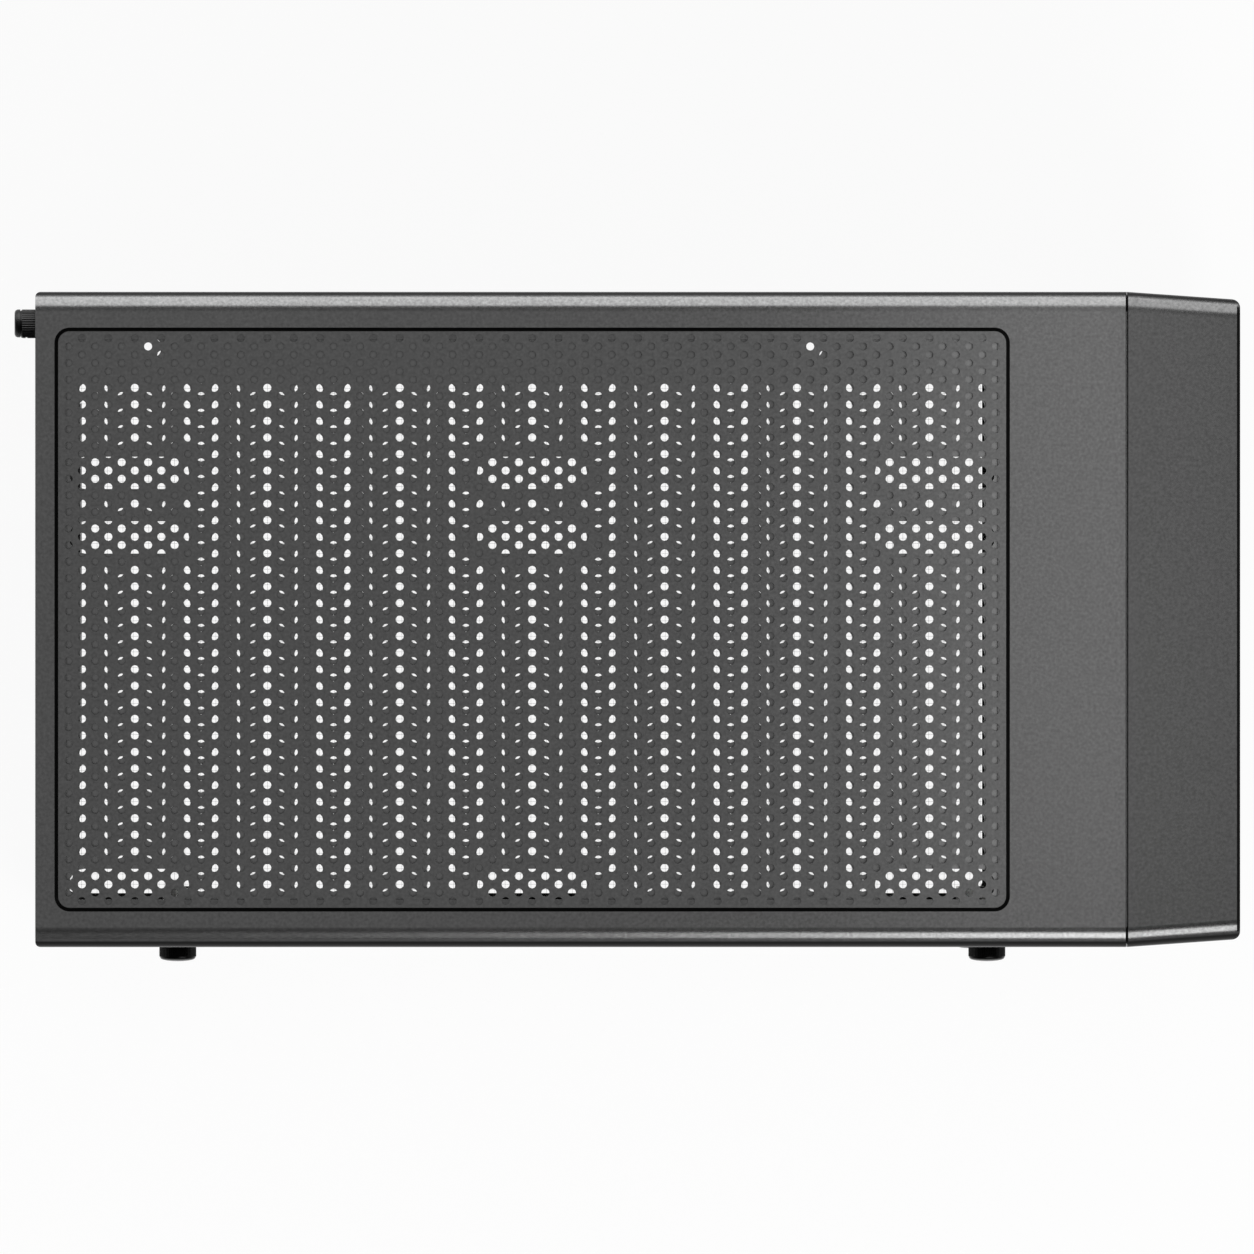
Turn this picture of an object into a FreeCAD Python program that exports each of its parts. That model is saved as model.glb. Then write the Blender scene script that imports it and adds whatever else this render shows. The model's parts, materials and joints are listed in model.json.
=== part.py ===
import FreeCAD, Part
import math
import os

# Mid tower computer case, in millimetres: +X is the front, +Y the steel side panel, +Z up.
# The origin is on the floor, under the middle of the whole outline with its thumb screws and nuts.

# Outer sizes
body_length = 364.0
body_width = 198.0
body_height = 462.0
bezel_depth = 34.0
bezel_taper = 2.4
foot_height = 18.0
edge_radius = 6.0
cover_rise = 10.0

# Thumb screws of the steel panel and thumb nuts of the glass
rear_screw_head = 6.5
rear_screw_diameter = 7.3
rear_screw_shank = 3.6
rear_screw_depth = 7.0
rear_screw_inset = 9.5
rear_screw_from_edge = 40.0
rear_screw_dome = 0.9
glass_nut_reach = 4.5
glass_nut_diameter = 11.2
glass_nut_shank = 4.6
glass_nut_depth = 9.0
glass_nut_rear = 43.0
glass_nut_front = 42.2
glass_nut_from_edge = 14.0
glass_nut_dome = 1.0
stud_wall = 1.0
stud_shoulder = 2.2
washer_wall = 4.0

# Sheets and gaps
sheet = 1.0
panel_sheet = 0.8
flange = 12.0
side_inset = 0.75
glass_thickness = 4.0
washer_thickness = 1.0
panel_fold = 4.2
tray_setback = 21.25
panel_gap = 1.0
sill_gap = 3.0
seam_gap = 0.4
slip = 0.3
loose = 0.5
fit_gap = 0.1
bend = 1.2

# Top cover and its filter
cover_wall = 2.2
skirt_drop = 4.0
cover_corner = 1.6
filter_length = 286.2
filter_width = 174.0
filter_sheet = 1.5
filter_corner = 3.4
filter_gap = 1.2
filter_sink = 0.3
filter_slot_pitch = 8.0
filter_slot = 4.8
filter_slots = 35
filter_border = 1.8
ledge = 2.4
leg = 4.0

# Vent field and fan slots of the chassis top
vent_from_rear = 150.1
vent_shift = 5.46
vent_slot_pitch = 16.0
vent_slot = 11.6
vent_slots = 17
vent_depth = 153.6
vent_web = 5.0
vent_bays = 4
fan_slot_width = 9.75
fan_slot_outer = 36.3
fan_slot_middle = 33.2
fan_group_pitch = 121.8
fan_row_edge = 74.75
fan_web = 1.7
small_fan_holes = 105.0
large_fan_holes = 124.5
tie_hole = 6.6
tie_slot_length = 22.0
tie_slot_width = 9.0
tie_behind = 115.3
tie_ahead = 84.65
tie_from_tray = 3.6

# Motherboard, ports and cards at the rear
board_drop = 27.0
board_thickness = 1.6
standoff_height = 6.5
standoff_radius = 3.2
standoff_bore = 1.5
board_from_rear = 2.0
standoff_first_x = 10.16
standoff_columns = (0.0, 154.94, 227.33)
standoff_first_z = 6.35
standoff_rows = (0.0, 157.48, 281.94)
port_width = 44.45
port_height = 158.75
port_below_board = 2.2
port_drop = 4.5
slot_count = 7
slot_pitch = 20.32
slot_height = 12.7
slot_length = 100.0
slot_first_drop = 11.7
slot_recess = 9.0
slot_cover_width = 18.4
slot_cover_gap = 1.0
slot_screw_head = 6.8
slot_screw_height = 2.4
slot_screw_length = 4.0
slot_margin = 8.0
clamp_width = 15.0
fan_size = 120.0
fan_drop = 72.0
fan_hole = 4.4
grille_hub = 16.0
grille_ring = 8.0
grille_bar = 5.0
grille_rings = 3
grille_spoke = 5.0

# Power supply
psu_width = 150.0
psu_height = 86.0
psu_border_y = 7.0
psu_border_z = 8.0
psu_rail_height = 8.0
psu_rail_left = 13.2
psu_rail_right = 2.7
psu_screw_inset = 6.0
psu_side_gap = 1.0

# Bottom window, filter and feet
window_rear = 6.0
window_front = 38.5
window_left = 12.2
window_right = 24.2
mesh_frame = 2.0
mesh_frame_height = 3.0
mesh_overlap = 1.8
mesh_sheet = 0.4
mesh_tab = 16.0
guide_wall = 1.0
foot_length = 84.0
foot_width = 7.2
foot_round = 3.0
foot_from_end = 62.0
pad_height = 2.5
pad_rim = 0.8

# Front fan wall, bezel and ports
front_opening = 114.0
front_pitch = 124.0
front_slot_length = 56.0
front_slot_width = 5.0
lead_hole_width = 26.0
lead_hole_height = 10.0
lead_inset = 34.0
lead_drop = 14.0
bezel_wall = 2.5
bezel_face = 3.0
bezel_lift = 2.0
bezel_round = 0.8
bezel_corner = 2.6
mesh_side = 24.0
mesh_bottom = 44.0
mesh_top_drop = 72.0
mesh_lap = 4.0
mesh_round = 8.0
front_sheet = 1.2
front_vent_pitch = 6.0
front_vent = 3.6
front_vents = 24
clip_inset = 15.0
clip_thick = 2.5
clip_height = 12.0
clip_reach = 7.0
clip_rows = (0.12, 0.5, 0.88)
io_drop = 36.0
io_depth = 12.0
io_board_thick = 1.6
io_board_height = 24.0
io_board_width = 134.0
io_boss = 6.0
io_boss_inset = 5.0
usb_at = 24.0
usb_width = 13.1
usb_height = 5.7
usb_wall = 0.5
usb_tongue = 1.9
usb_back = 2.0
jack_first = -38.0
jack_second = -51.0
jack_outer = 6.4
jack_bore = 3.6
jack_floor = 0.6
lens_at = 50.0
lens_diameter = 3.0
reset_at = 39.0
reset_diameter = 5.0
power_diameter = 14.0
button_sink = 0.2
button_rim = 1.2
button_rim_thick = 1.4
button_stem = 4.0
button_stem_reach = 2.0
button_travel = 1.2
switch_size = 6.0

# Cutouts and fittings of the tray
cpu_width = 124.0
cpu_height = 104.0
cpu_from_rear = 60.0
cpu_drop = 20.0
cable_width = 22.0
cable_height = 70.0
cable_pitch = 95.0
cable_ahead_of_board = 12.0
cable_count = 3
board_depth = 243.84
grommet_lip = 3.0
grommet_wall = 2.0
grommet_thick = 3.6
drive_width = 72.0
drive_height = 100.0
drive_depth = 9.0
drive_gap = 10.0
drive_from_rear = 66.0
drive_from_floor = 132.0
frame_band = 27.0
frame_post = 19.0
corner = 5.0

# Sides of the small many-sided pieces
hex_sides = 6
small_sides = 10
ring_sides = 12
knurl_sides = 18
arc_steps = 5

# Places worked out from the sizes
mesh_width = body_width - 2 * mesh_side
x_front = (body_length + rear_screw_head) / 2
x_rear = x_front - body_length
x_seam = x_front - bezel_depth
y_right = (body_width + glass_nut_reach) / 2
y_left = y_right - body_width
y_mid = (y_left + y_right) / 2
z_top = body_height
z_base = foot_height
z_floor = z_base + sheet
z_chassis = z_top - cover_rise
z_ceiling = z_chassis - sheet
z_skirt = z_chassis - skirt_drop
z_panel = z_skirt - panel_gap
z_sill = z_floor + sill_gap

x_back = x_rear + panel_sheet
x_inner = x_back + sheet
x_wall = x_seam - sheet
y_glass = y_left + side_inset
y_glass_in = y_glass + glass_thickness
y_frame = y_glass_in + washer_thickness
y_frame_in = y_frame + sheet
y_panel = y_right - side_inset
y_panel_in = y_panel - panel_sheet
y_chassis = y_panel_in - panel_fold
y_tray = y_right - tray_setback
y_tray_back = y_tray + panel_sheet

vent_x = x_rear + vent_from_rear
vent_y = y_mid - vent_shift
fan_rows = (
    vent_y - fan_row_edge,
    vent_y - fan_row_edge + small_fan_holes,
    vent_y - fan_row_edge + large_fan_holes,
)
fan_groups = (
    (vent_x - fan_group_pitch, fan_slot_outer),
    (vent_x, fan_slot_middle),
    (vent_x + fan_group_pitch, fan_slot_outer),
)
tie_columns = (vent_x - tie_behind, vent_x + tie_ahead)
tie_y = y_tray_back + tie_from_tray

board_top = z_chassis - board_drop
board_rear = x_inner + board_from_rear
board_face = y_tray - standoff_height - board_thickness
port_right = board_face + port_below_board
port_left = port_right - port_width
port_top = board_top - port_drop
port_bottom = port_top - port_height
slot_end = board_face - loose
slot_right = slot_end - slot_margin
slot_left = slot_right - slot_length
slot_top = port_bottom - slot_first_drop
slot_plate = x_inner + slot_recess
slots_high = slot_top + slot_cover_width / 2 + slot_cover_gap
slots_low = slot_top - (slot_count - 1) * slot_pitch - slot_cover_width / 2 - slot_cover_gap

window_x0 = x_back + window_rear
window_x1 = x_seam - window_front
window_y0 = y_left + window_left
window_y1 = y_right - window_right
psu_left = y_frame_in + sheet + psu_side_gap
psu_right = psu_left + psu_width
psu_bottom = z_floor + psu_rail_height
psu_top = psu_bottom + psu_height
fan_y = y_frame_in + sheet + fan_size / 2
fan_z = z_chassis - fan_drop

io_z = z_top - io_drop
io_face = x_front - bezel_face
io_board_x = io_face - io_depth
stud_bore = glass_nut_shank / 2 + slip
nut_columns = (x_rear + glass_nut_rear, x_seam - glass_nut_front)
nut_rows = (z_sill + glass_nut_from_edge, z_panel - glass_nut_from_edge)
screw_rows = (z_sill + rear_screw_from_edge, z_panel - rear_screw_from_edge)
screw_y = y_right - rear_screw_inset

AX = FreeCAD.Vector(1, 0, 0)
AY = FreeCAD.Vector(0, 1, 0)
AZ = FreeCAD.Vector(0, 0, 1)


def block(x0, x1, y0, y1, z0, z1):
    """A box between two corners."""
    return Part.makeBox(x1 - x0, y1 - y0, z1 - z0, FreeCAD.Vector(x0, y0, z0))


def edges_along(shape, axis):
    """The straight edges that run along an axis."""
    found = []
    for edge in shape.Edges:
        step = edge.Vertexes[-1].Point.sub(edge.Vertexes[0].Point)
        if step.Length > 0 and abs(step.dot(axis)) > 0.999 * step.Length:
            found.append(edge)
    return found


def rounded(axis, radius, x0, x1, y0, y1, z0, z1):
    """A box with its four edges along one axis rounded."""
    shape = block(x0, x1, y0, y1, z0, z1)
    return shape.makeFillet(radius, edges_along(shape, axis))


def prism(points, run):
    """A straight extrusion of a closed outline of corner points."""
    corners = [FreeCAD.Vector(*point) for point in points]
    return Part.Face(Part.makePolygon(corners + corners[:1])).extrude(run)


def rod(base, axis, radius, length):
    """A plain cylinder from a base point."""
    return Part.makeCylinder(radius, length, base, axis)


def peg(base, axis, radius, length, sides):
    """A straight many-sided pin, or the tool for a small hole."""
    across = AX if abs(axis.z) > slip else AZ
    up = axis.cross(across)
    corners = []
    for index in range(sides):
        angle = 2 * math.pi * (index + 0.5) / sides
        corners.append(base + across * (radius * math.cos(angle)) + up * (radius * math.sin(angle)))
    return Part.Face(Part.makePolygon(corners + corners[:1])).extrude(axis * length)


def knob(base, axis, radius, length, dome):
    """A knurled head with its outer edge cut back."""
    head = peg(base, axis, radius, length, knurl_sides)
    reach = base.dot(axis) + length - slip
    rim = [edge for edge in head.Edges if edge.CenterOfMass.dot(axis) > reach]
    return head.makeChamfer(dome, rim)


def obround(centre, along, axis, length, width, depth):
    """A slot with round ends, made through both sides of its centre."""
    side = axis.cross(along)
    start = centre - axis * depth
    corners = []
    for end in (1, -1):
        middle = start + along * (end * (length - width) / 2)
        for step in range(arc_steps + 1):
            angle = math.pi * (step / arc_steps - 0.5)
            spoke = along * math.cos(angle) + side * math.sin(angle)
            corners.append(middle + spoke * (end * width / 2))
    return Part.Face(Part.makePolygon(corners + corners[:1])).extrude(axis * (2 * depth))


def clipped(axis, cut, x0, x1, y0, y1, z0, z1):
    """A box with its four edges along one axis cut off at a slant."""
    shape = block(x0, x1, y0, y1, z0, z1)
    return shape.makeChamfer(cut, edges_along(shape, axis))


def spans(low, high, gaps):
    """What is left of a length after the gaps are taken out."""
    kept = []
    for first, last in sorted(gaps):
        if first > low:
            kept.append((low, min(first, high)))
        low = max(low, last)
    if low < high:
        kept.append((low, high))
    return kept


def columns(count, pitch, centre):
    """Evenly spaced places about a centre."""
    return [centre + (index - (count - 1) / 2) * pitch for index in range(count)]


def save(name, shape):
    """Writes one piece."""
    shape.exportStep("parts/" + name + ".step")


def save_group(name, shapes):
    """Writes equal small pieces as separate solids of one file."""
    save(name, Part.makeCompound(shapes))


def chassis_top():
    shape = block(x_back, x_seam, y_frame, y_chassis, z_ceiling, z_chassis)
    low = vent_y - vent_depth / 2
    high = vent_y + vent_depth / 2
    webs = [(y - vent_web / 2, y + vent_web / 2) for y in columns(vent_bays - 1, vent_depth / vent_bays,
                                                                  vent_y)]
    reach = fan_web + fan_slot_width / 2
    cuts = []
    for x in columns(vent_slots, vent_slot_pitch, vent_x):
        gaps = webs[:]
        for group_x, length in fan_groups:
            if abs(x - group_x) < length / 2 + fan_web + vent_slot / 2:
                gaps += [(y - reach, y + reach) for y in fan_rows]
        for first, last in spans(low, high, gaps):
            if last - first > vent_slot:
                cuts.append(block(x - vent_slot / 2, x + vent_slot / 2, first, last, z_ceiling - sheet,
                                  z_top))
    for group_x, length in fan_groups:
        for y in fan_rows:
            centre = FreeCAD.Vector(group_x, y, z_chassis)
            cuts.append(obround(centre, AX, AZ, length, fan_slot_width, 2 * sheet))
    for x in tie_columns:
        cuts.append(peg(FreeCAD.Vector(x, tie_y, z_ceiling - sheet), AZ, tie_hole / 2, 3 * sheet,
                        ring_sides))
    return shape.cut(cuts)


def tie_slots(z):
    y = y_tray_back + loose + tie_slot_width / 2
    return [obround(FreeCAD.Vector(x, y, z), AX, AZ, tie_slot_length, tie_slot_width,
                    3 * sheet) for x in tie_columns]


def chassis_bottom():
    shape = rounded(AZ, corner, x_back, x_seam, y_glass + slip, y_panel_in - slip, z_base, z_floor)
    window = rounded(AZ, corner, window_x0, window_x1, window_y0, window_y1, z_base - sheet,
                     z_floor + sheet)
    return shape.cut([window] + tie_slots(z_base))


def side_frame():
    shape = block(x_back, x_seam, y_frame, y_frame_in, z_floor, z_ceiling)
    cuts = [rounded(AY, corner, x_back + frame_post, x_seam - frame_post, y_frame - sheet,
                    y_frame_in + sheet,
                    z_floor + frame_band, z_ceiling - frame_band)]
    for x in nut_columns:
        for z in nut_rows:
            cuts.append(peg(FreeCAD.Vector(x, y_frame - sheet, z), AY, stud_bore + stud_wall, 3 * sheet,
                            small_sides))
    return shape.cut(cuts)


def channel_sheet(face, inside):
    """An upright sheet with both long edges folded inward: a U in plan, pulled up."""
    step = sheet if inside > face else -sheet
    y0 = y_frame_in
    y1 = y_chassis
    back = face + step
    outline = [
        (face, y0, z_floor), (inside, y0, z_floor), (inside, y0 + sheet, z_floor), (back, y0 + sheet, z_floor),
        (back, y1 - sheet, z_floor), (inside, y1 - sheet, z_floor), (inside, y1, z_floor), (face, y1, z_floor),
    ]
    shape = prism(outline, AZ * (z_ceiling - z_floor))
    bends = [edge for edge in edges_along(shape, AZ) if abs(edge.CenterOfMass.x - face) < slip]
    return shape.makeFillet(bend, bends)


def arc_points(radius, first, last):
    """Points of a rear vent arc, from one angle in degrees to another."""
    points = []
    for step in range(arc_steps + 1):
        angle = math.radians(first + (last - first) * step / arc_steps)
        points.append(FreeCAD.Vector(x_back - sheet, fan_y + radius * math.cos(angle),
                                     fan_z + radius * math.sin(angle)))
    return points


def fan_grille():
    """Ring slots of the rear fan vent, parted by two crossed bars."""
    cutters = []
    for index in range(grille_rings):
        inner = grille_hub + index * (grille_ring + grille_bar)
        outer = inner + grille_ring
        for quarter in range(4):
            middle = 90 * quarter
            near = 45 - math.degrees(math.asin(grille_spoke / 2 / inner))
            far = 45 - math.degrees(math.asin(grille_spoke / 2 / outer))
            rim = arc_points(outer, middle - far, middle + far)
            rim += arc_points(inner, middle + near, middle - near)
            cutters.append(Part.Face(Part.makePolygon(rim + rim[:1])).extrude(AX * (3 * sheet)))
    return Part.makeCompound(cutters)


def corner_points(centre_y, centre_z, spread_y, spread_z):
    return [(centre_y + a * spread_y / 2, centre_z + b * spread_z / 2) for a in (-1, 1) for b in (-1, 1)]


def rear_panel():
    shape = channel_sheet(x_back, x_inner + flange)
    through = (x_back - sheet, x_inner + sheet)
    cuts = [
        block(*through, port_left, port_right, port_bottom, port_top),
        block(*through, slot_left - clamp_width, slot_right, slots_low, slots_high),
        clipped(AX, corner, *through, psu_left + psu_border_y, psu_right - psu_border_y,
                psu_bottom + psu_border_z, psu_top - psu_border_z),
        fan_grille(),
    ]
    holes = [(y, z, fan_hole / 2) for y,
             z in corner_points(fan_y, fan_z, small_fan_holes, small_fan_holes)]
    middle = (psu_left + psu_right) / 2
    spread = psu_width - 2 * psu_screw_inset
    rise = psu_height - 2 * psu_screw_inset
    holes += [(y, z, fan_hole / 2 - slip) for y,
              z in corner_points(middle, (psu_bottom + psu_top) / 2, spread, rise)]
    for y, z, radius in holes:
        cuts.append(rod(FreeCAD.Vector(x_back - sheet, y, z), AX, radius, 3 * sheet))
    for z in screw_rows:
        cuts.append(peg(FreeCAD.Vector(x_back - sheet, screw_y, z), AX, rear_screw_shank / 2 + slip,
                        3 * sheet, small_sides))
    return shape.cut(cuts)


def slot_frame():
    """Recessed sheet with the card slots, folded back to the rear panel and to a screw shelf."""
    outer = block(x_inner, slot_plate + sheet, slot_left - sheet, slot_end, slots_low - sheet,
                  slots_high + sheet)
    hollow = block(x_inner - sheet, slot_plate, slot_left, slot_end - sheet, slots_low, slots_high)
    cuts = [hollow]
    for index in range(slot_count):
        z = slot_top - index * slot_pitch
        cuts.append(block(slot_plate - sheet, slot_plate + 2 * sheet, slot_left + sheet, slot_right,
                          z - slot_height / 2, z + slot_height / 2))
    for index in range(slot_count):
        z = slot_top - index * slot_pitch
        cuts.append(peg(FreeCAD.Vector(x_inner + slot_recess / 2, slot_left - 2 * sheet, z), AY,
                        rear_screw_shank / 2, 3 * sheet, hex_sides))
    return outer.cut(cuts)


def slot_cover(index):
    """A cover strip inside the slot frame, with its tab folded out over the screw shelf."""
    z = slot_top - index * slot_pitch
    half = slot_cover_width / 2
    face = slot_plate + sheet
    shelf = slot_left - sheet
    end = slot_right + slot_margin / 2
    outline = [
        (x_inner + loose, shelf - sheet, z - half), (face + sheet, shelf - sheet,
                                                     z - half), (face + sheet, end, z - half),
        (face, end, z - half), (face, shelf, z - half), (x_inner + loose, shelf, z - half),
    ]
    strip = prism(outline, AZ * slot_cover_width)
    hole = peg(FreeCAD.Vector(x_inner + slot_recess / 2, shelf - 2 * sheet, z), AY,
               rear_screw_shank / 2, 3 * sheet, hex_sides)
    return strip.cut(hole)


def slot_screws():
    seat = slot_left - 2 * sheet
    shapes = []
    for index in range(slot_count):
        base = FreeCAD.Vector(x_inner + slot_recess / 2, seat, slot_top - index * slot_pitch)
        shank = peg(base, AY, rear_screw_shank / 2 - slip, slot_screw_length, hex_sides)
        head = peg(base, AY * -1, slot_screw_head / 2, slot_screw_height, hex_sides)
        shapes.append(head.fuse(shank))
    return shapes


def slot_clamp():
    """Flat plate over the screw shelf, flush with the rear edge of the cover."""
    return clipped(AX, 2 * sheet, x_rear, x_back, slot_left - clamp_width - slot_margin,
                   slot_left + sheet,
                   slots_low - sheet, slots_high + sheet)


def motherboard_tray():
    """Upright sheet with its top and bottom edges folded toward the steel panel."""
    fold = y_chassis - sheet - loose
    outline = [
        (x_inner, y_tray, z_floor), (x_inner, fold, z_floor), (x_inner, fold, z_floor + panel_sheet),
        (x_inner, y_tray_back, z_floor + panel_sheet), (x_inner, y_tray_back, z_ceiling - panel_sheet),
        (x_inner, fold, z_ceiling - panel_sheet), (x_inner, fold, z_ceiling), (x_inner, y_tray,
                                                                               z_ceiling),
    ]
    shape = prism(outline, AX * (x_wall - x_inner))
    deep = (y_tray - sheet, y_tray_back + sheet)
    cpu_x = board_rear + cpu_from_rear
    cuts = tie_slots(z_floor) + tie_slots(z_ceiling)
    cuts.append(clipped(AY, corner, cpu_x, cpu_x + cpu_width, *deep, board_top - cpu_drop - cpu_height,
                        board_top - cpu_drop))
    for x, z in cable_places():
        cuts.append(clipped(AY, corner, x, x + cable_width, *deep, z, z + cable_height))
    for x, z in standoff_places():
        cuts.append(peg(FreeCAD.Vector(x, y_tray - sheet, z), AY, standoff_bore + slip, 3 * sheet,
                        hex_sides))
    return shape.cut(cuts)


def cable_places():
    x = board_rear + board_depth + cable_ahead_of_board
    return [(x,
             board_top - cpu_drop - cable_height - index * cable_pitch) for index in range(cable_count)]


def standoff_places():
    first_x = board_rear + standoff_first_x
    first_z = board_top - standoff_first_z
    return [(first_x + dx, first_z - dz) for dx in standoff_columns for dz in standoff_rows]


def standoffs():
    """Six-sided posts, bored round where the board's corner screws go and with fewer sides elsewhere."""
    places = standoff_places()
    corner_x = (places[0][0], places[-1][0])
    corner_z = (places[0][1], places[-1][1])
    shapes = []
    for x, z in places:
        post = peg(FreeCAD.Vector(x, y_tray, z), AY * -1, standoff_radius, standoff_height, hex_sides)
        base = FreeCAD.Vector(x, y_tray + sheet, z)
        if x in corner_x and z in corner_z:
            bore = rod(base, AY * -1, standoff_bore, 2 * standoff_height)
        else:
            bore = peg(base, AY * -1, standoff_bore, 2 * standoff_height, hex_sides)
        shapes.append(post.cut(bore))
    return shapes


def grommet(x, z):
    """Rubber ring lining a cable hole, with a lip on both faces of the tray."""
    y0 = y_tray - (grommet_thick - panel_sheet) / 2
    y1 = y0 + grommet_thick
    lip = grommet_lip
    outer = clipped(AY, corner + lip, x - lip, x + cable_width + lip, y0, y1, z - lip,
                    z + cable_height + lip)
    wall = grommet_wall
    bore = clipped(AY, corner - wall / 2, x + wall, x + cable_width - wall, y0 - sheet, y1 + sheet,
                   z + wall, z + cable_height - wall)
    far = 2 * lip
    band = block(x - far, x + cable_width + far, y_tray, y_tray_back, z - far, z + cable_height + far)
    gap = fit_gap
    plug = clipped(AY, corner, x + gap, x + cable_width - gap, y_tray, y_tray_back, z + gap,
                   z + cable_height - gap)
    return outer.cut([bore, band.cut(plug)])


def drive_bracket(index):
    """Drive holder behind the tray: a sheet with both sides folded out."""
    x0 = x_inner + drive_from_rear + index * (drive_width + drive_gap)
    x1 = x0 + drive_width
    y0 = y_tray_back
    y1 = y0 + drive_depth
    z0 = z_floor + drive_from_floor
    outline = [
        (x0, y0, z0), (x1, y0, z0), (x1, y1, z0), (x1 - panel_sheet, y1, z0),
        (x1 - panel_sheet, y0 + panel_sheet, z0), (x0 + panel_sheet, y0 + panel_sheet,
                                                   z0), (x0 + panel_sheet, y1, z0), (x0, y1, z0),
    ]
    shape = prism(outline, AZ * drive_height)
    window = clipped(AY, corner, x0 + 3 * corner, x1 - 3 * corner, y0 - sheet, y0 + 2 * sheet,
                     z0 + 3 * corner, z0 + drive_height - 3 * corner)
    return shape.cut(window)


def psu_rails():
    """Two upright strips across the bottom window that carry the power supply."""
    shapes = []
    for y in (psu_left + psu_rail_left, psu_right - psu_rail_right):
        strip = block(window_x0 - window_rear / 2, window_x1 + window_rear, y - sheet / 2,
                      y + sheet / 2, z_floor, psu_bottom)
        shapes.append(strip)
    return shapes


def top_cover():
    """Moulded cover with rolled long edges, open toward the bezel, and a ledge round the filter."""
    x1 = x_seam - seam_gap
    outer = block(x_rear, x1, y_left, y_right, z_skirt, z_top)
    long_edges = [edge for edge in edges_along(outer, AX) if edge.CenterOfMass.z > z_chassis]
    outer = outer.makeFillet(edge_radius, long_edges)
    outer = outer.common(rounded(AZ, cover_corner, x_rear, x1 + 2 * cover_corner, y_left, y_right,
                                 z_skirt, z_top))
    inner = block(x_rear + cover_wall, x1 + sheet, y_left + cover_wall, y_right - cover_wall,
                  z_skirt - sheet, z_top - cover_wall)
    inner_edges = [edge for edge in edges_along(inner, AX) if edge.CenterOfMass.z > z_chassis]
    inner = inner.makeFillet(edge_radius - cover_wall, inner_edges)
    over_rear = block(x_rear - sheet, x_rear + 2 * cover_wall, y_left + cover_wall,
                      y_right - cover_wall, z_skirt - sheet, z_chassis)
    shape = outer.cut([inner, over_rear])
    seat = filter_sheet + filter_sink
    ring = filter_plan(filter_gap + ledge / 2, z_top - seat - cover_wall, z_top - cover_wall)
    shape = shape.fuse(ring)
    legs = []
    for x in (vent_x - filter_length / 2, vent_x, vent_x + filter_length / 2):
        for y in (y_mid - filter_width / 2, y_mid + filter_width / 2):
            legs.append(block(x - leg / 2, x + leg / 2, y - leg / 2, y + leg / 2, z_chassis,
                              z_top - seat - cover_wall / 2))
    shape = shape.fuse(legs)
    recess = filter_plan(filter_gap, z_top - seat, z_top + sheet)
    opening = filter_plan(-ledge, z_skirt, z_top)
    return shape.cut([recess, opening]).removeSplitter()


def filter_plan(grow, z0, z1):
    """The rounded outline of the filter, grown or shrunk, between two heights."""
    half_x = filter_length / 2 + grow
    half_y = filter_width / 2 + grow
    radius = max(filter_corner + grow, sheet)
    return rounded(AZ, radius, vent_x - half_x, vent_x + half_x, y_mid - half_y, y_mid + half_y, z0, z1)


def top_filter():
    """Perforated sheet: each two columns of its holes are one long slot here."""
    z1 = z_top - filter_sink
    z0 = z1 - filter_sheet
    shape = filter_plan(0.0, z0, z1)
    half = filter_width / 2 - filter_border
    cuts = []
    for x in columns(filter_slots, filter_slot_pitch, vent_x):
        cuts.append(block(x - filter_slot / 2, x + filter_slot / 2, y_mid - half, y_mid + half,
                          z0 - sheet, z1 + sheet))
    return shape.cut(cuts)


def bezel_plan(inset, x1, z0, z1):
    """The plain tapered bezel outline between two heights."""
    shift = bezel_taper * (x1 - x_seam) / bezel_depth
    outline = [
        (x_seam, y_left + inset, z0), (x1, y_left + inset + shift, z0),
        (x1, y_right - inset - shift, z0), (x_seam, y_right - inset, z0),
    ]
    return prism(outline, AZ * (z1 - z0))


def bezel_block(inset, x1, z0, z1, radius):
    """The tapered bezel with its two rolled top edges."""
    shape = bezel_plan(inset, x1, z0, z1)
    middle = (x_seam + x1) / 2
    upper = [edge for edge in shape.Edges if edge.CenterOfMass.z > z1 - sheet]
    rolled = [edge for edge in upper if abs(edge.CenterOfMass.x - middle) < sheet]
    return shape.makeFillet(radius, rolled)


def io_places():
    """The round and square openings of the bezel face, as solids to cut."""
    cuts = []
    base = io_board_x
    reach = x_front - base + sheet
    for at, diameter in ((0.0, power_diameter), (reset_at, reset_diameter)):
        cuts.append(peg(FreeCAD.Vector(base, y_mid + at, io_z), AX, diameter / 2 + slip, reach,
                        knurl_sides))
    for at in (jack_first, jack_second):
        cuts.append(peg(FreeCAD.Vector(base, y_mid + at, io_z), AX, jack_outer / 2 + fit_gap, reach,
                        ring_sides))
    cuts.append(peg(FreeCAD.Vector(base, y_mid + lens_at, io_z), AX, lens_diameter / 2 + fit_gap, reach,
                    small_sides))
    for side in (-1, 1):
        y = y_mid + side * usb_at
        half_y = usb_width / 2 + fit_gap
        half_z = usb_height / 2 + fit_gap
        cuts.append(block(base, base + reach, y - half_y, y + half_y, io_z - half_z, io_z + half_z))
    return cuts


def mesh_plan(grow, x0, x1):
    z1 = z_top - mesh_top_drop
    return rounded(AX, mesh_round + grow, x0, x1, y_mid - mesh_width / 2 - grow,
                   y_mid + mesh_width / 2 + grow,
                   mesh_bottom - grow, z1 + grow)


def clip_places():
    low = z_base + bezel_lift
    spread = body_width / 2 - clip_inset
    return [(y_mid + side * spread, low + share * (z_top - low)) for side in (-1,
                                                                              1) for share in clip_rows]


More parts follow.
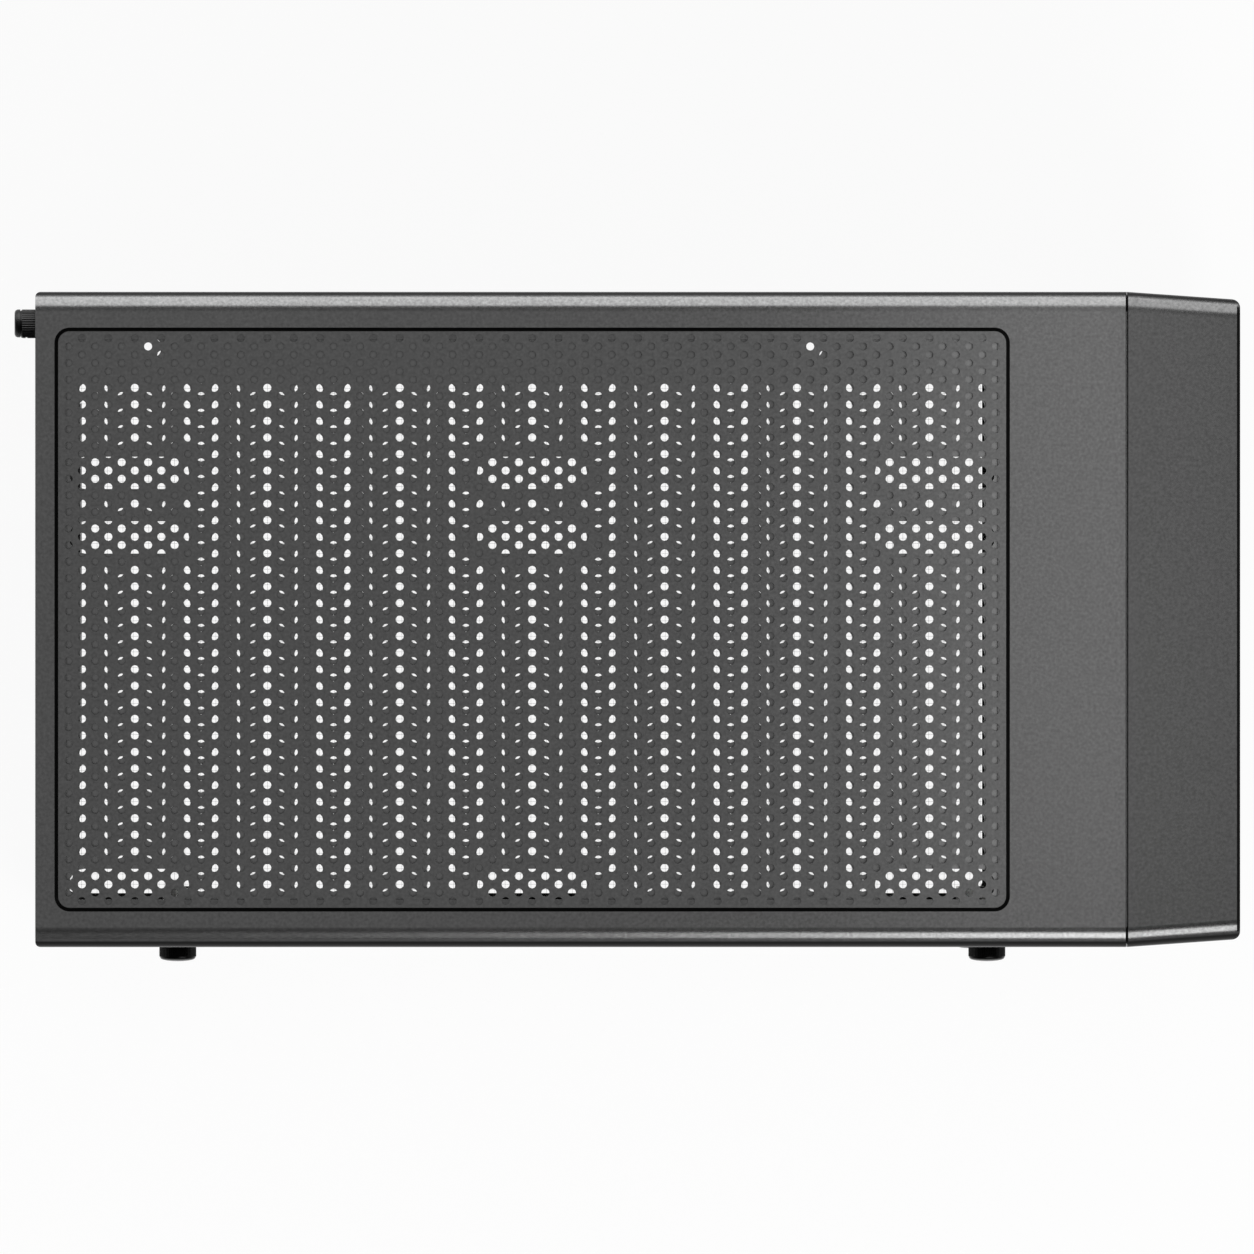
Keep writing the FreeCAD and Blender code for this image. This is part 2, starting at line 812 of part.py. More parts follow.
def front_bezel():
    z0 = z_base + bezel_lift
    shape = bezel_block(0.0, x_front, z0, z_top, edge_radius)
    foremost = x_front - slip
    front_edges = [edge for edge in shape.Edges if min(end.Point.x for end in edge.Vertexes) > foremost]
    shape = shape.makeFillet(bezel_round, front_edges)
    plan = bezel_plan(0.0, x_front, z0, z_top)
    corners = [edge for edge in edges_along(plan, AZ) if edge.CenterOfMass.x > foremost]
    shape = shape.common(plan.makeFillet(bezel_corner, corners))
    inner = bezel_block(bezel_wall, io_face, z0 + bezel_wall, z_top - bezel_wall,
                        edge_radius - bezel_wall)
    shape = shape.cut(inner)
    added = []
    for y, z in clip_places():
        added.append(block(x_seam - clip_reach, io_face + sheet, y - clip_thick / 2, y + clip_thick / 2,
                           z - clip_height / 2, z + clip_height / 2))
    for side in (-1, 1):
        y = y_mid + side * (io_board_width / 2 - io_boss_inset)
        added.append(peg(FreeCAD.Vector(io_board_x, y, io_z), AX, io_boss / 2, io_depth + sheet,
                         small_sides))
    shape = shape.fuse(added)
    return shape.cut(io_places() + [mesh_plan(0.0, io_face - sheet, x_front + sheet)]).removeSplitter()


def front_mesh():
    """Perforated sheet behind the bezel window: each column of its holes is one slot here."""
    x1 = io_face
    x0 = x1 - front_sheet
    shape = mesh_plan(mesh_lap, x0, x1)
    z0 = mesh_bottom + filter_border
    z1 = z_top - mesh_top_drop - filter_border
    cuts = []
    for y in columns(front_vents, front_vent_pitch, y_mid):
        cuts.append(block(x0 - sheet, x1 + sheet, y - front_vent / 2, y + front_vent / 2, z0, z1))
    return shape.cut(cuts)


def chassis_front():
    shape = channel_sheet(x_seam, x_wall - flange)
    middle_z = (z_floor + z_ceiling) / 2
    cuts = []
    for step in (-1, 0, 1):
        base = FreeCAD.Vector(x_wall - sheet, y_mid, middle_z + step * front_pitch)
        cuts.append(rod(base, AX, front_opening / 2, 3 * sheet))
    for step in (-0.5, 0.5):
        for side in (-1, 1):
            centre = FreeCAD.Vector(x_wall, y_mid + side * small_fan_holes / 2,
                                    middle_z + step * front_pitch)
            cuts.append(obround(centre, AZ, AX, front_slot_length, front_slot_width, 2 * sheet))
    for y, z in clip_places():
        cuts.append(block(x_wall - sheet, x_seam + sheet, y - clip_thick / 2 - slip,
                          y + clip_thick / 2 + slip,
                          z - clip_height / 2 - slip, z + clip_height / 2 + slip))
    lead_y = y_chassis - lead_inset
    lead_z = z_ceiling - lead_drop
    cuts.append(clipped(AX, slip * 5, x_wall - sheet, x_seam + sheet, lead_y - lead_hole_width / 2,
                        lead_y + lead_hole_width / 2,
                        lead_z - lead_hole_height / 2, lead_z + lead_hole_height / 2))
    return shape.cut(cuts)


def io_board():
    return block(io_board_x - io_board_thick, io_board_x, y_mid - io_board_width / 2,
                 y_mid + io_board_width / 2,
                 io_z - io_board_height / 2, io_z + io_board_height / 2)


def usb_port(side):
    """A pressed shell open to the front, with the contact tongue inside."""
    y = y_mid + side * usb_at
    half_y = usb_width / 2
    half_z = usb_height / 2
    mouth = x_front - slip
    shell = block(io_board_x, mouth, y - half_y, y + half_y, io_z - half_z, io_z + half_z)
    cavity = block(io_board_x + usb_back, x_front + sheet, y - half_y + usb_wall, y + half_y - usb_wall,
                   io_z - half_z + usb_wall, io_z + half_z - usb_wall)
    tongue = block(io_board_x, mouth - usb_back, y - half_y + 2 * usb_wall, y + half_y - 2 * usb_wall,
                   io_z + half_z - 2 * usb_wall - usb_tongue, io_z + half_z - 2 * usb_wall)
    return shell.cut(cavity).fuse(tongue)


def audio_jack(at):
    base = FreeCAD.Vector(io_board_x, y_mid + at, io_z)
    length = x_front - io_board_x - slip
    barrel = peg(base, AX, jack_outer / 2, length, ring_sides)
    return barrel.cut(peg(base + AX * jack_floor, AX, jack_bore / 2, length, ring_sides))


def light_lens():
    return peg(FreeCAD.Vector(io_board_x, y_mid + lens_at, io_z), AX, lens_diameter / 2,
               x_front - io_board_x - slip, small_sides)


def button(at, diameter):
    """A cap in the bezel face, held by a rim behind it, with a stem to its switch."""
    back = io_face - slip
    place = FreeCAD.Vector(back, y_mid + at, io_z)
    cap = peg(place, AX, diameter / 2, x_front - button_sink - back, knurl_sides)
    rim = peg(place, AX * -1, diameter / 2 + button_rim, button_rim_thick, knurl_sides)
    stem = peg(place, AX * -1, button_stem / 2, button_rim_thick + button_stem_reach, small_sides)
    return cap.fuse([rim, stem]).removeSplitter()


def button_switch(at):
    """The switch behind a button; the button's travel is the gap left in front of it."""
    end = io_face - slip - button_rim_thick - button_stem_reach - button_travel - slip
    half = switch_size / 2
    y = y_mid + at
    return block(io_board_x, end, y - half, y + half, io_z - half, io_z + half)


def glass_panel():
    shape = rounded(AY, corner, x_rear + loose, x_seam - loose, y_glass, y_glass_in, z_sill, z_panel)
    holes = []
    for x in nut_columns:
        for z in nut_rows:
            holes.append(peg(FreeCAD.Vector(x, y_glass - sheet, z), AY, stud_bore,
                             glass_thickness + 2 * sheet, small_sides))
    return shape.cut(holes)


def nut_places(y):
    return [FreeCAD.Vector(x, y, z) for x in nut_columns for z in nut_rows]


def glass_nuts():
    height = y_glass - y_left + glass_nut_reach
    shapes = []
    for place in nut_places(y_glass):
        head = knob(place, AY * -1, glass_nut_diameter / 2, height, glass_nut_dome)
        shapes.append(head.fuse(peg(place, AY, glass_nut_shank / 2, glass_nut_depth, small_sides)))
    return shapes


def glass_studs():
    """Bushes pressed into the side frame that take the thumb nuts."""
    shapes = []
    for place in nut_places(y_frame):
        neck = peg(place, AY, stud_bore + stud_wall - fit_gap, 2 * sheet, small_sides)
        bush = peg(place + AY * sheet, AY, stud_bore + stud_shoulder, glass_nut_depth - sheet,
                   small_sides)
        shapes.append(neck.fuse(bush).cut(peg(place - AY * sheet, AY, stud_bore, 2 * glass_nut_depth,
                                              small_sides)))
    return shapes


def glass_washers():
    shapes = []
    for place in nut_places(y_glass_in):
        disc = peg(place, AY, stud_bore + washer_wall, washer_thickness, ring_sides)
        shapes.append(disc.cut(peg(place - AY * sheet, AY, stud_bore, washer_thickness + 2 * sheet,
                                   small_sides)))
    return shapes


def side_panel():
    """Steel panel with folded edges: a C in plan, closed above and below, screwed at its rear fold."""
    x1 = x_seam - loose
    y_fold = y_chassis + loose
    y_rear = y_tray_back + 2 * sheet
    outline = [
        (x_rear, y_rear, z_sill), (x_back, y_rear, z_sill), (x_back, y_panel_in,
                                                             z_sill), (x1 - panel_sheet, y_panel_in,
                                                                       z_sill),
        (x1 - panel_sheet, y_fold, z_sill), (x1, y_fold, z_sill), (x1, y_panel, z_sill), (x_rear, y_panel, z_sill),
    ]
    shape = prism(outline, AZ * (z_panel - z_sill))
    folds = [block(x_back, x1, y_fold, y_panel_in, z, z + panel_sheet) for z in (z_sill, z_panel - panel_sheet)]
    shape = shape.fuse(folds).removeSplitter()
    bends = [edge for edge in shape.Edges if edge.BoundBox.YMin > y_panel - slip]
    shape = shape.makeFillet(bend, bends)
    reach = rear_screw_shank / 2 + slip
    holes = [peg(FreeCAD.Vector(x_rear - sheet, screw_y, z), AX, reach, 3 * sheet,
                 small_sides) for z in screw_rows]
    return shape.cut(holes)


def panel_screws():
    shapes = []
    for z in screw_rows:
        place = FreeCAD.Vector(x_rear, screw_y, z)
        head = knob(place, AX * -1, rear_screw_diameter / 2, rear_screw_head, rear_screw_dome)
        shapes.append(head.fuse(peg(place, AX, rear_screw_shank / 2, rear_screw_depth, small_sides)))
    return shapes


def foot_places():
    left = y_glass + slip
    right = y_panel_in - slip - foot_width
    rear = x_rear + foot_from_end - foot_length / 2
    front = x_seam - foot_from_end - foot_length / 2
    return [(rear, left), (rear, right), (front, left), (front, right)]


def foot(x, y):
    shape = clipped(AZ, foot_round, x, x + foot_length, y, y + foot_width, pad_height, z_base)
    low = [edge for edge in shape.Edges if edge.CenterOfMass.z < pad_height + slip]
    return shape.makeChamfer(slip, low)


def foot_pad(x, y):
    rim = pad_rim
    return clipped(AZ, foot_round - rim, x + rim, x + foot_length - rim, y + rim, y + foot_width - rim,
                   0, pad_height)


def mesh_outline(grow, z0, z1):
    out = mesh_overlap + grow
    return block(window_x0 - out, window_x1 + out, window_y0 - out, window_y1 + out, z0, z1)


def bottom_filter_frame():
    z1 = z_base - slip
    z0 = z1 - mesh_frame_height
    shape = mesh_outline(0.0, z0, z1)
    middle = (window_y0 + window_y1) / 2
    edge = window_x0 - mesh_overlap
    tab = block(x_rear, edge, middle - mesh_tab / 2, middle + mesh_tab / 2, z0, z1)
    return shape.fuse(tab).cut(mesh_outline(-mesh_frame, z0 - sheet, z1 + sheet)).removeSplitter()


def bottom_filter_mesh():
    z1 = z_base - slip - mesh_frame_height / 2
    return mesh_outline(-mesh_frame, z1 - mesh_sheet, z1)


def filter_guide(side):
    """Angle strip under the bottom sheet that the filter frame slides on."""
    edge = (window_y0 if side < 0 else window_y1) + side * mesh_overlap
    near = edge + side * slip
    far = near + side * guide_wall
    lip = edge - side * guide_wall
    low = z_base - 2 * slip - mesh_frame_height - guide_wall
    outline = [
        (window_x0, far, low), (window_x0, lip, low), (window_x0, lip, low + guide_wall),
        (window_x0, near, low + guide_wall), (window_x0, near, z_base), (window_x0, far, z_base),
    ]
    return prism(outline, AX * (window_x1 - window_x0))


os.makedirs("parts", exist_ok=True)
save("chassis_top", chassis_top())
save("chassis_bottom", chassis_bottom())
save("side_frame", side_frame())
save("rear_panel", rear_panel())
save("chassis_front", chassis_front())
save("slot_frame", slot_frame())
for number in range(slot_count):
    save("slot_cover_" + str(number + 1), slot_cover(number))
save_group("slot_screws", slot_screws())
save("slot_clamp", slot_clamp())
save("motherboard_tray", motherboard_tray())
save_group("standoffs", standoffs())
for number, place in enumerate(cable_places()):
    save("grommet_" + str(number + 1), grommet(*place))
for number in range(2):
    save("drive_bracket_" + str(number + 1), drive_bracket(number))
save_group("psu_rails", psu_rails())
save("top_cover", top_cover())
save("top_filter", top_filter())
save("front_bezel", front_bezel())
save("front_mesh", front_mesh())
save("io_board", io_board())
save("usb_port_1", usb_port(-1))
save("usb_port_2", usb_port(1))
save("audio_jack_1", audio_jack(jack_first))
save("audio_jack_2", audio_jack(jack_second))
save("light_lens", light_lens())
save("power_button", button(0.0, power_diameter))
save("reset_button", button(reset_at, reset_diameter))
save("power_switch", button_switch(0.0))
save("reset_switch", button_switch(reset_at))
save("glass_panel", glass_panel())
save_group("glass_nuts", glass_nuts())
save_group("glass_studs", glass_studs())
save_group("glass_washers", glass_washers())
save("side_panel", side_panel())
save_group("panel_screws", panel_screws())
for number, place in enumerate(foot_places()):
    save("foot_" + str(number + 1), foot(*place))
    save("foot_pad_" + str(number + 1), foot_pad(*place))
save("bottom_filter_frame", bottom_filter_frame())
save("bottom_filter_mesh", bottom_filter_mesh())
save("filter_guide_left", filter_guide(-1))
save("filter_guide_right", filter_guide(1))
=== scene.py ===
"""Looks of a mid tower computer case: finishes, perforated sheets, fasteners, studio and camera."""
import json
import math
import bmesh
import bpy
from mathutils import Euler, Matrix, Vector
from mathutils.geometry import tessellate_polygon


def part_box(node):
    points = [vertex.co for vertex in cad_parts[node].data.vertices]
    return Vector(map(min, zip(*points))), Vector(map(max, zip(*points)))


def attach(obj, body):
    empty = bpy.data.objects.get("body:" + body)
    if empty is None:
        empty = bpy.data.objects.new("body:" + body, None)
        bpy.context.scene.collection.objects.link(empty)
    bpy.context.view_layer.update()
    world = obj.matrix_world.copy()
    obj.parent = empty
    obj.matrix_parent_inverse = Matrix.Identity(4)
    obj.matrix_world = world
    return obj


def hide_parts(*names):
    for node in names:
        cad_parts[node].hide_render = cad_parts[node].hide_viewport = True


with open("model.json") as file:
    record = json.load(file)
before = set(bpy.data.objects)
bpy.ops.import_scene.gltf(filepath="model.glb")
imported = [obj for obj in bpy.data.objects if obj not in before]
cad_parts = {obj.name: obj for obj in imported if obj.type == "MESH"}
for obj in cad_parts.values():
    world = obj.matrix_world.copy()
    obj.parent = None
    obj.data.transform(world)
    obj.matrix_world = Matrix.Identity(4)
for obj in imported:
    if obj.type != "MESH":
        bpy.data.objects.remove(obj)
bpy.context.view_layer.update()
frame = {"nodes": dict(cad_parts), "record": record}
case = frame["nodes"]
MM = 0.001
GRID = 1e7  # steps in a metre, so that corners are matched as whole numbers
HOLE_SIDES = 12
CORNER_STEPS = 8
WHITE = (1, 1, 1, 1)


class Signal:
    """One output of a node; plain sums on it add their own nodes."""

    def __init__(self, nodes, socket):
        self.nodes = nodes
        self.socket = socket

    def sum(self, operation, *terms):
        return self.nodes.node("ShaderNodeMath", {"operation": operation}, dict(enumerate(terms)))

    def __add__(self, other):
        return self.sum("ADD", self, other)

    def __radd__(self, other):
        return self.sum("ADD", other, self)

    def __sub__(self, other):
        return self.sum("SUBTRACT", self, other)

    def __rsub__(self, other):
        return self.sum("SUBTRACT", other, self)

    def __mul__(self, other):
        return self.sum("MULTIPLY", self, other)

    def __rmul__(self, other):
        return self.sum("MULTIPLY", other, self)

    def __truediv__(self, other):
        return self.sum("DIVIDE", self, other)

    def __rtruediv__(self, other):
        return self.sum("DIVIDE", other, self)

    def __gt__(self, other):
        return self.sum("GREATER_THAN", self, other)

    def __lt__(self, other):
        return self.sum("LESS_THAN", self, other)

    def __abs__(self):
        return self.sum("ABSOLUTE", self)

    def either(self, other):
        return self.sum("MAXIMUM", self, other)

    def both(self, other):
        return self.sum("MINIMUM", self, other)

    def root(self):
        return self.sum("SQRT", self)

    def ease(self, start, end):
        """0 at a start value and 1 at an end value, with a smooth change between them."""
        return self.nodes.node("ShaderNodeMapRange", {"interpolation_type": "SMOOTHSTEP"},
                               {"Value": self, "From Min": start, "From Max": end})

    def wave(self, pitch):
        """0 to 1 and back along a length, once in each pitch."""
        return self.sum("PINGPONG", self, pitch / 2) / (pitch / 2)


class Nodes:
    """A node tree that is filled by one method."""

    def __init__(self, tree):
        self.tree = tree
        tree.nodes.clear()

    def node(self, kind, settings=None, sockets=None, output=0):
        made = self.tree.nodes.new(kind)
        for key, value in (settings or {}).items():
            if key == "stops":
                self.stops(made.color_ramp, value)
            else:
                setattr(made, key, value)
        for key, value in (sockets or {}).items():
            for one in value if isinstance(value, list) else [value]:
                if isinstance(one, Signal):
                    self.tree.links.new(one.socket, made.inputs[key])
                else:
                    made.inputs[key].default_value = one
        return Signal(self, made.outputs[output]) if made.outputs else None

    def stops(self, ramp, stops):
        for element, (place, shade) in zip((ramp.elements[0], ramp.elements[-1]), (stops[0], stops[-1])):
            element.position = place
            element.color = grey(shade)
        for place, shade in stops[1:-1]:
            ramp.elements.new(place).color = grey(shade)

    def place(self):
        """Object coordinates, in metres in the case's own frame."""
        return self.node("ShaderNodeTexCoord", {}, {}, "Object")

    def along(self, axis):
        return self.node("ShaderNodeSeparateXYZ", {}, {0: self.place()}, axis)

    def noise(self, scale, detail=2.0, stretch=None):
        where = self.place()
        if stretch:
            where = self.node("ShaderNodeMapping", {}, {"Vector": where, "Scale": stretch})
        return self.node("ShaderNodeTexNoise", {}, {"Vector": where, "Scale": scale, "Detail": detail})

    def mix(self, factor, first, second):
        """Blend of two colours."""
        return self.node("ShaderNodeMix", {"data_type": "RGBA"}, {0: factor, 6: first, 7: second}, 2)

    def bump(self, height, strength, depth):
        return self.node("ShaderNodeBump", {}, {"Height": height, "Strength": strength, "Distance": depth})

    def shader(self, **sockets):
        """A Principled surface; sockets are named with _ in place of a blank."""
        named = {key.replace("_", " "): value for key, value in sockets.items()}
        named.setdefault("IOR", 1.5)
        return self.node("ShaderNodeBsdfPrincipled", {}, named)

    def mix_shaders(self, factor, first, second):
        return self.node("ShaderNodeMixShader", {}, {0: factor, 1: first, 2: second})

    def surface(self, shader, kind="ShaderNodeOutputMaterial"):
        self.node(kind, {}, {"Surface": shader})


def finish(name):
    material = bpy.data.materials.new(name)
    material.use_nodes = True
    return material, Nodes(material.node_tree)


def grey(level):
    return (level, level, level, 1)


def satin_paint(name, level, rough, grain, shade=None):
    """Dark sprayed metal paint with fine flake and a slight cloud; shade says where painted shade makes it matte
    and near black.
    """
    material, n = finish(name)
    flake = n.noise(1100.0, 2.0)
    cloud = n.noise(14.0, 3.0)
    tone = n.mix(flake * 0.85 + cloud * 0.15, grey(level * (1 - grain)), grey(level * (1 + grain)))
    metal = 0.92
    if shade:
        dark = shade(n)
        # Painted shade: near-black, non-metal colour where the mask puts shadow or a dark reflection
        tone = n.mix(dark, tone, grey(0.007))
        metal = metal * (1 - dark)
    rough_here = rough + (flake - 0.5) * 0.05 + (cloud - 0.5) * 0.04
    n.surface(n.shader(Base_Color=tone, Metallic=metal, Roughness=rough_here, IOR=1.15,
                       Specular_Tint=grey(0.3), Normal=n.bump(flake, 0.05, 0.00001)))
    return material


def edge_drop(n, top):
    """Painted shade in place of the dark reflection low on the rolled edges: 1 low on the rolled edges, from
    higher up on the glass side; 0 above that and on the walls below.
    """
    drop = top - n.along("Z")
    glass_side = n.along("Y") < glass_low.y + 8 * MM
    low_edge = drop.ease(2.2 * MM, 3.6 * MM)
    glass_edge = drop.ease(0.9 * MM, 2.1 * MM) * glass_side
    return low_edge.either(glass_edge) * wall_fade(drop)


def wall_fade(drop):
    """1 on the top edges and 0 further down the walls."""
    return drop.ease(7.5 * MM, 5.8 * MM)


def cover_shade(n):
    """Painted shade: dark in the groove round the filter and in the seam by the bezel, where shadow falls, and
    under the rolled edges, in place of their dark reflection.
    """
    z = n.along("Z")
    out_x = (abs(n.along("X") - filter_x) - (filter_high.x - filter_x - filter_corner)).either(0)
    out_y = (abs(n.along("Y") - filter_y) - (filter_high.y - filter_y - filter_corner)).either(0)
    away = (out_x * out_x + out_y * out_y).root() - filter_corner
    groove = (away > 0.1 * MM).both(away < 1.5 * MM).both(z < cover_high.z - 0.2 * MM)
    seam = n.along("X") > cover_high.x - 0.2 * MM
    return groove.either(seam).either(edge_drop(n, cover_high.z))


def bezel_shade(n):
    """Painted shade: dark on the upper front edge and in the seam by the cover, where shadow falls, and under the
    rolled edges, in place of their dark reflection.
    """
    front = (n.along("X") > bezel_high.x - 1.0 * MM) * (bezel_high.z - n.along("Z")).ease(2.0 * MM, 1.0 * MM)
    seam = n.along("X") < cover_high.x + seam_gap + 0.2 * MM
    return front.either(seam).either(edge_drop(n, bezel_high.z))


def powder_coat(name, level, rough):
    """Black powder coat with orange-peel texture."""
    material, n = finish(name)
    peel = n.noise(900.0, 2.0)
    dust = n.noise(60.0, 4.0)
    tone = n.mix(dust, grey(level * 0.8), grey(level * 1.25))
    n.surface(n.shader(Base_Color=tone, Roughness=rough + (peel - 0.5) * 0.16,
                       Normal=n.bump(peel, 0.12, 0.00006)))
    return material


def moulded(name, level, rough, pebble):
    """Moulded plastic with a fine spark texture."""
    material, n = finish(name)
    cell = n.node("ShaderNodeTexVoronoi", {}, {"Vector": n.place(), "Scale": pebble})
    haze = n.noise(35.0, 3.0)
    tone = n.mix(haze, grey(level * 0.85), grey(level * 1.15))
    n.surface(n.shader(Base_Color=tone, Roughness=rough + (haze - 0.5) * 0.12,
                       Normal=n.bump(cell, 0.2, 0.00008)))
    return material


def plated(name, colour, rough, scratch):
    """Plated or turned metal with fine lines along one axis."""
    material, n = finish(name)
    lines = n.noise(1500.0, 2.0, scratch)
    stain = n.noise(120.0, 3.0)
    tone = n.mix(stain, tuple(part * 0.82 for part in colour[:3]) + (1,), colour)
    n.surface(n.shader(Base_Color=tone, Metallic=1.0, Roughness=rough + (lines - 0.5) * 0.2,
                       Normal=n.bump(lines, 0.15, 0.00004)))
    return material


def tempered_glass(name, low, high, band):
    """Clear tinted glass with a printed black border."""
    material, n = finish(name)
    x = n.along("X")
    z = n.along("Z")
    edge = (x < low.x + band).either(x > high.x - band).either((z < low.z + band).either(z > high.z - band))
    smear = n.noise(9.0, 4.0)
    clear = n.shader(Base_Color=(0.80, 0.82, 0.83, 1), Roughness=0.01 + smear * 0.03, Transmission_Weight=1.0)
    dots = n.noise(700.0, 2.0)
    print_tone = n.mix(dots, grey(0.004), grey(0.012))
    printed = n.shader(Base_Color=print_tone, Roughness=0.08 + dots * 0.05)
    n.surface(n.mix_shaders(edge, clear, printed))
    return material


def woven_mesh(name, pitch, thread):
    """Fine woven filter cloth: threads two ways with clear gaps."""
    material, n = finish(name)
    over_x = n.along("X").wave(pitch)
    over_y = n.along("Y").wave(pitch)
    share = thread / pitch
    solid = (over_x < share).either(over_y < share)
    rise = over_x.both(over_y)
    fuzz = n.noise(400.0, 2.0)
    tone = n.mix(fuzz, grey(0.012), grey(0.035))
    n.surface(n.shader(Base_Color=tone, Roughness=0.6 + fuzz * 0.2, Alpha=solid,
                       Normal=n.bump(rise, 0.4, 0.0001)))
    return material


def laminate(name):
    """Circuit board laminate with faint tracks."""
    material, n = finish(name)
    track = n.node("ShaderNodeTexBrick", {"offset": 0.5}, {"Vector": n.place(), "Scale": 260.0}, "Fac")
    tone = n.mix(track, (0.008, 0.045, 0.025, 1), (0.015, 0.08, 0.045, 1))
    n.surface(n.shader(Base_Color=tone, Roughness=0.35 + track * 0.1, Normal=n.bump(track, 0.2, 0.00005)))
    return material


def clear_lens(name):
    """Frosted light pipe."""
    material, n = finish(name)
    frost = n.noise(1800.0, 2.0)
    tone = n.mix(frost, (0.75, 0.8, 0.85, 1), (0.9, 0.93, 0.95, 1))
    n.surface(n.shader(Base_Color=tone, Roughness=0.25 + frost * 0.2, Normal=n.bump(frost, 0.1, 0.00003),
                       Transmission_Weight=0.6))
    return material


glass_low, glass_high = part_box("glass_panel")
cover_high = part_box("top_cover")[1]
bezel_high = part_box("front_bezel")[1]
filter_low, filter_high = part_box("top_filter")
filter_x = (filter_low.x + filter_high.x) / 2
filter_y = (filter_low.y + filter_high.y) / 2
filter_corner = 3.4 * MM
seam_gap = 0.4 * MM
finishes = {
    "cover_finish": satin_paint("satin_cover_paint_with_painted_shade", 0.135, 0.25, 0.5, cover_shade),
    # The bezel's paint is a darker copy of the cover's: painted shade for the weaker reflection on its top
    "bezel_finish": satin_paint("satin_bezel_paint_with_painted_shade", 0.092, 0.25, 0.58, bezel_shade),
    "filter_paint": satin_paint("satin_filter_paint", 0.13, 0.25, 0.5),
    # Grey of the sheet itself, set lighter than the filter's as painted light to make up for the shade under the
    # filter
    "top_sheet_finish": satin_paint("satin_top_sheet_paint_and_painted_light", 0.165, 0.15, 0.1),
    "panel_paint": satin_paint("satin_panel_paint", 0.115, 0.28, 0.5),
    "chassis_paint": powder_coat("black_powder_coat", 0.016, 0.48),
    "black_metal": plated("black_oxide_metal", grey(0.032), 0.38, (1, 1, 6)),
    "black_nut": plated("polished_black_nut", grey(0.006), 0.3, (1, 6, 1)),
    "zinc": plated("bright_zinc", (0.62, 0.62, 0.60, 1), 0.28, (6, 1, 1)),
    "brass_posts": plated("turned_brass", (0.70, 0.50, 0.22, 1), 0.25, (1, 6, 1)),
    "glass_tint": tempered_glass("tempered_side_glass", glass_low, glass_high, 17 * MM),
    "black_rubber": moulded("black_rubber", 0.014, 0.75, 1400.0),
    "foot_plastic": moulded("foot_plastic", 0.02, 0.5, 1100.0),
    "nylon_mesh": woven_mesh("nylon_filter_weave", 1.6 * MM, 0.06 * MM),
    "port_plastic": moulded("port_plastic", 0.018, 0.35, 2200.0),
    "board_laminate": laminate("board_laminate"),
    "lens_clear": clear_lens("frosted_light_lens"),
}
for part in frame["record"]["subparts"]:
    worn = part["material_slot"]
    if part["node"] == "front_bezel":
        worn = "bezel_finish"
    skin = case[part["node"]].data.materials
    skin.clear()
    skin.append(finishes[worn])


def tree(name, inputs):
    """An empty geometry tree with named inputs; its inputs come back by name."""
    group = bpy.data.node_groups.new(name, "GeometryNodeTree")
    n = Nodes(group)
    group.interface.new_socket("Geometry", in_out="OUTPUT", socket_type="NodeSocketGeometry")
    group.interface.new_socket("Places", in_out="INPUT", socket_type="NodeSocketGeometry")
    for label, kind in inputs.items():
        group.interface.new_socket(label, in_out="INPUT", socket_type="NodeSocket" + kind)
    group.interface.new_socket("Finish", in_out="INPUT", socket_type="NodeSocketMaterial")
    entry = group.nodes.new("NodeGroupInput")
    return group, n, {socket.name: Signal(n, socket) for socket in entry.outputs if socket.name}


def joined(n, *pieces):
    return n.node("GeometryNodeJoinGeometry", {}, {0: list(reversed(pieces))})


def closing(n, geometry, given):
    """Makes the result real and gives it its finish."""
    real = n.node("GeometryNodeRealizeInstances", {}, {0: geometry})
    painted = n.node("GeometryNodeSetMaterial", {}, {"Geometry": real, "Material": given["Finish"]})
    n.node("NodeGroupOutput", {}, {0: painted})


def upright(n, height):
    return n.node("ShaderNodeCombineXYZ", {}, {2: height})


def punched_sheet_tree():
    """Punched cells on every place, joined to the plain sheet round them."""
    group, n, given = tree("punched_sheet", {
        "Hole radius": "Float", "Pitch along": "Float", "Pitch across": "Float", "Thickness": "Float",
        "Plain sheet": "Object"})
    hole = n.node("GeometryNodeCurvePrimitiveCircle", {},
                  {"Resolution": HOLE_SIDES, "Radius": given["Hole radius"]})
    cell = n.node("GeometryNodeCurvePrimitiveQuadrilateral", {},
                  {"Width": given["Pitch along"], "Height": given["Pitch across"]})
    halved = n.node("GeometryNodeSubdivideCurve", {}, {0: cell, 1: 1})
    top = n.node("GeometryNodeFillCurve", {}, {0: joined(n, halved, hole)})
    depth = given["Thickness"] * -1
    under = n.node("GeometryNodeTransform", {}, {0: top, "Translation": upright(n, depth)})
    under = n.node("GeometryNodeFlipFaces", {}, {0: under})
    ring = n.node("GeometryNodeMeshCircle", {}, {"Vertices": HOLE_SIDES, "Radius": given["Hole radius"]})
    wall = n.node("GeometryNodeExtrudeMesh", {"mode": "EDGES"},
                  {"Mesh": ring, "Offset": upright(n, 1.0), "Offset Scale": depth})
    cells = n.node("GeometryNodeInstanceOnPoints", {},
                   {"Points": given["Places"], "Instance": joined(n, top, under, wall)})
    plain = n.node("GeometryNodeObjectInfo", {}, {0: given["Plain sheet"]}, "Geometry")
    whole = n.node("GeometryNodeRealizeInstances", {}, {0: joined(n, cells, plain)})
    whole = n.node("GeometryNodeMergeByDistance", {}, {0: whole, "Distance": 0.000004})
    closing(n, whole, given)
    return group


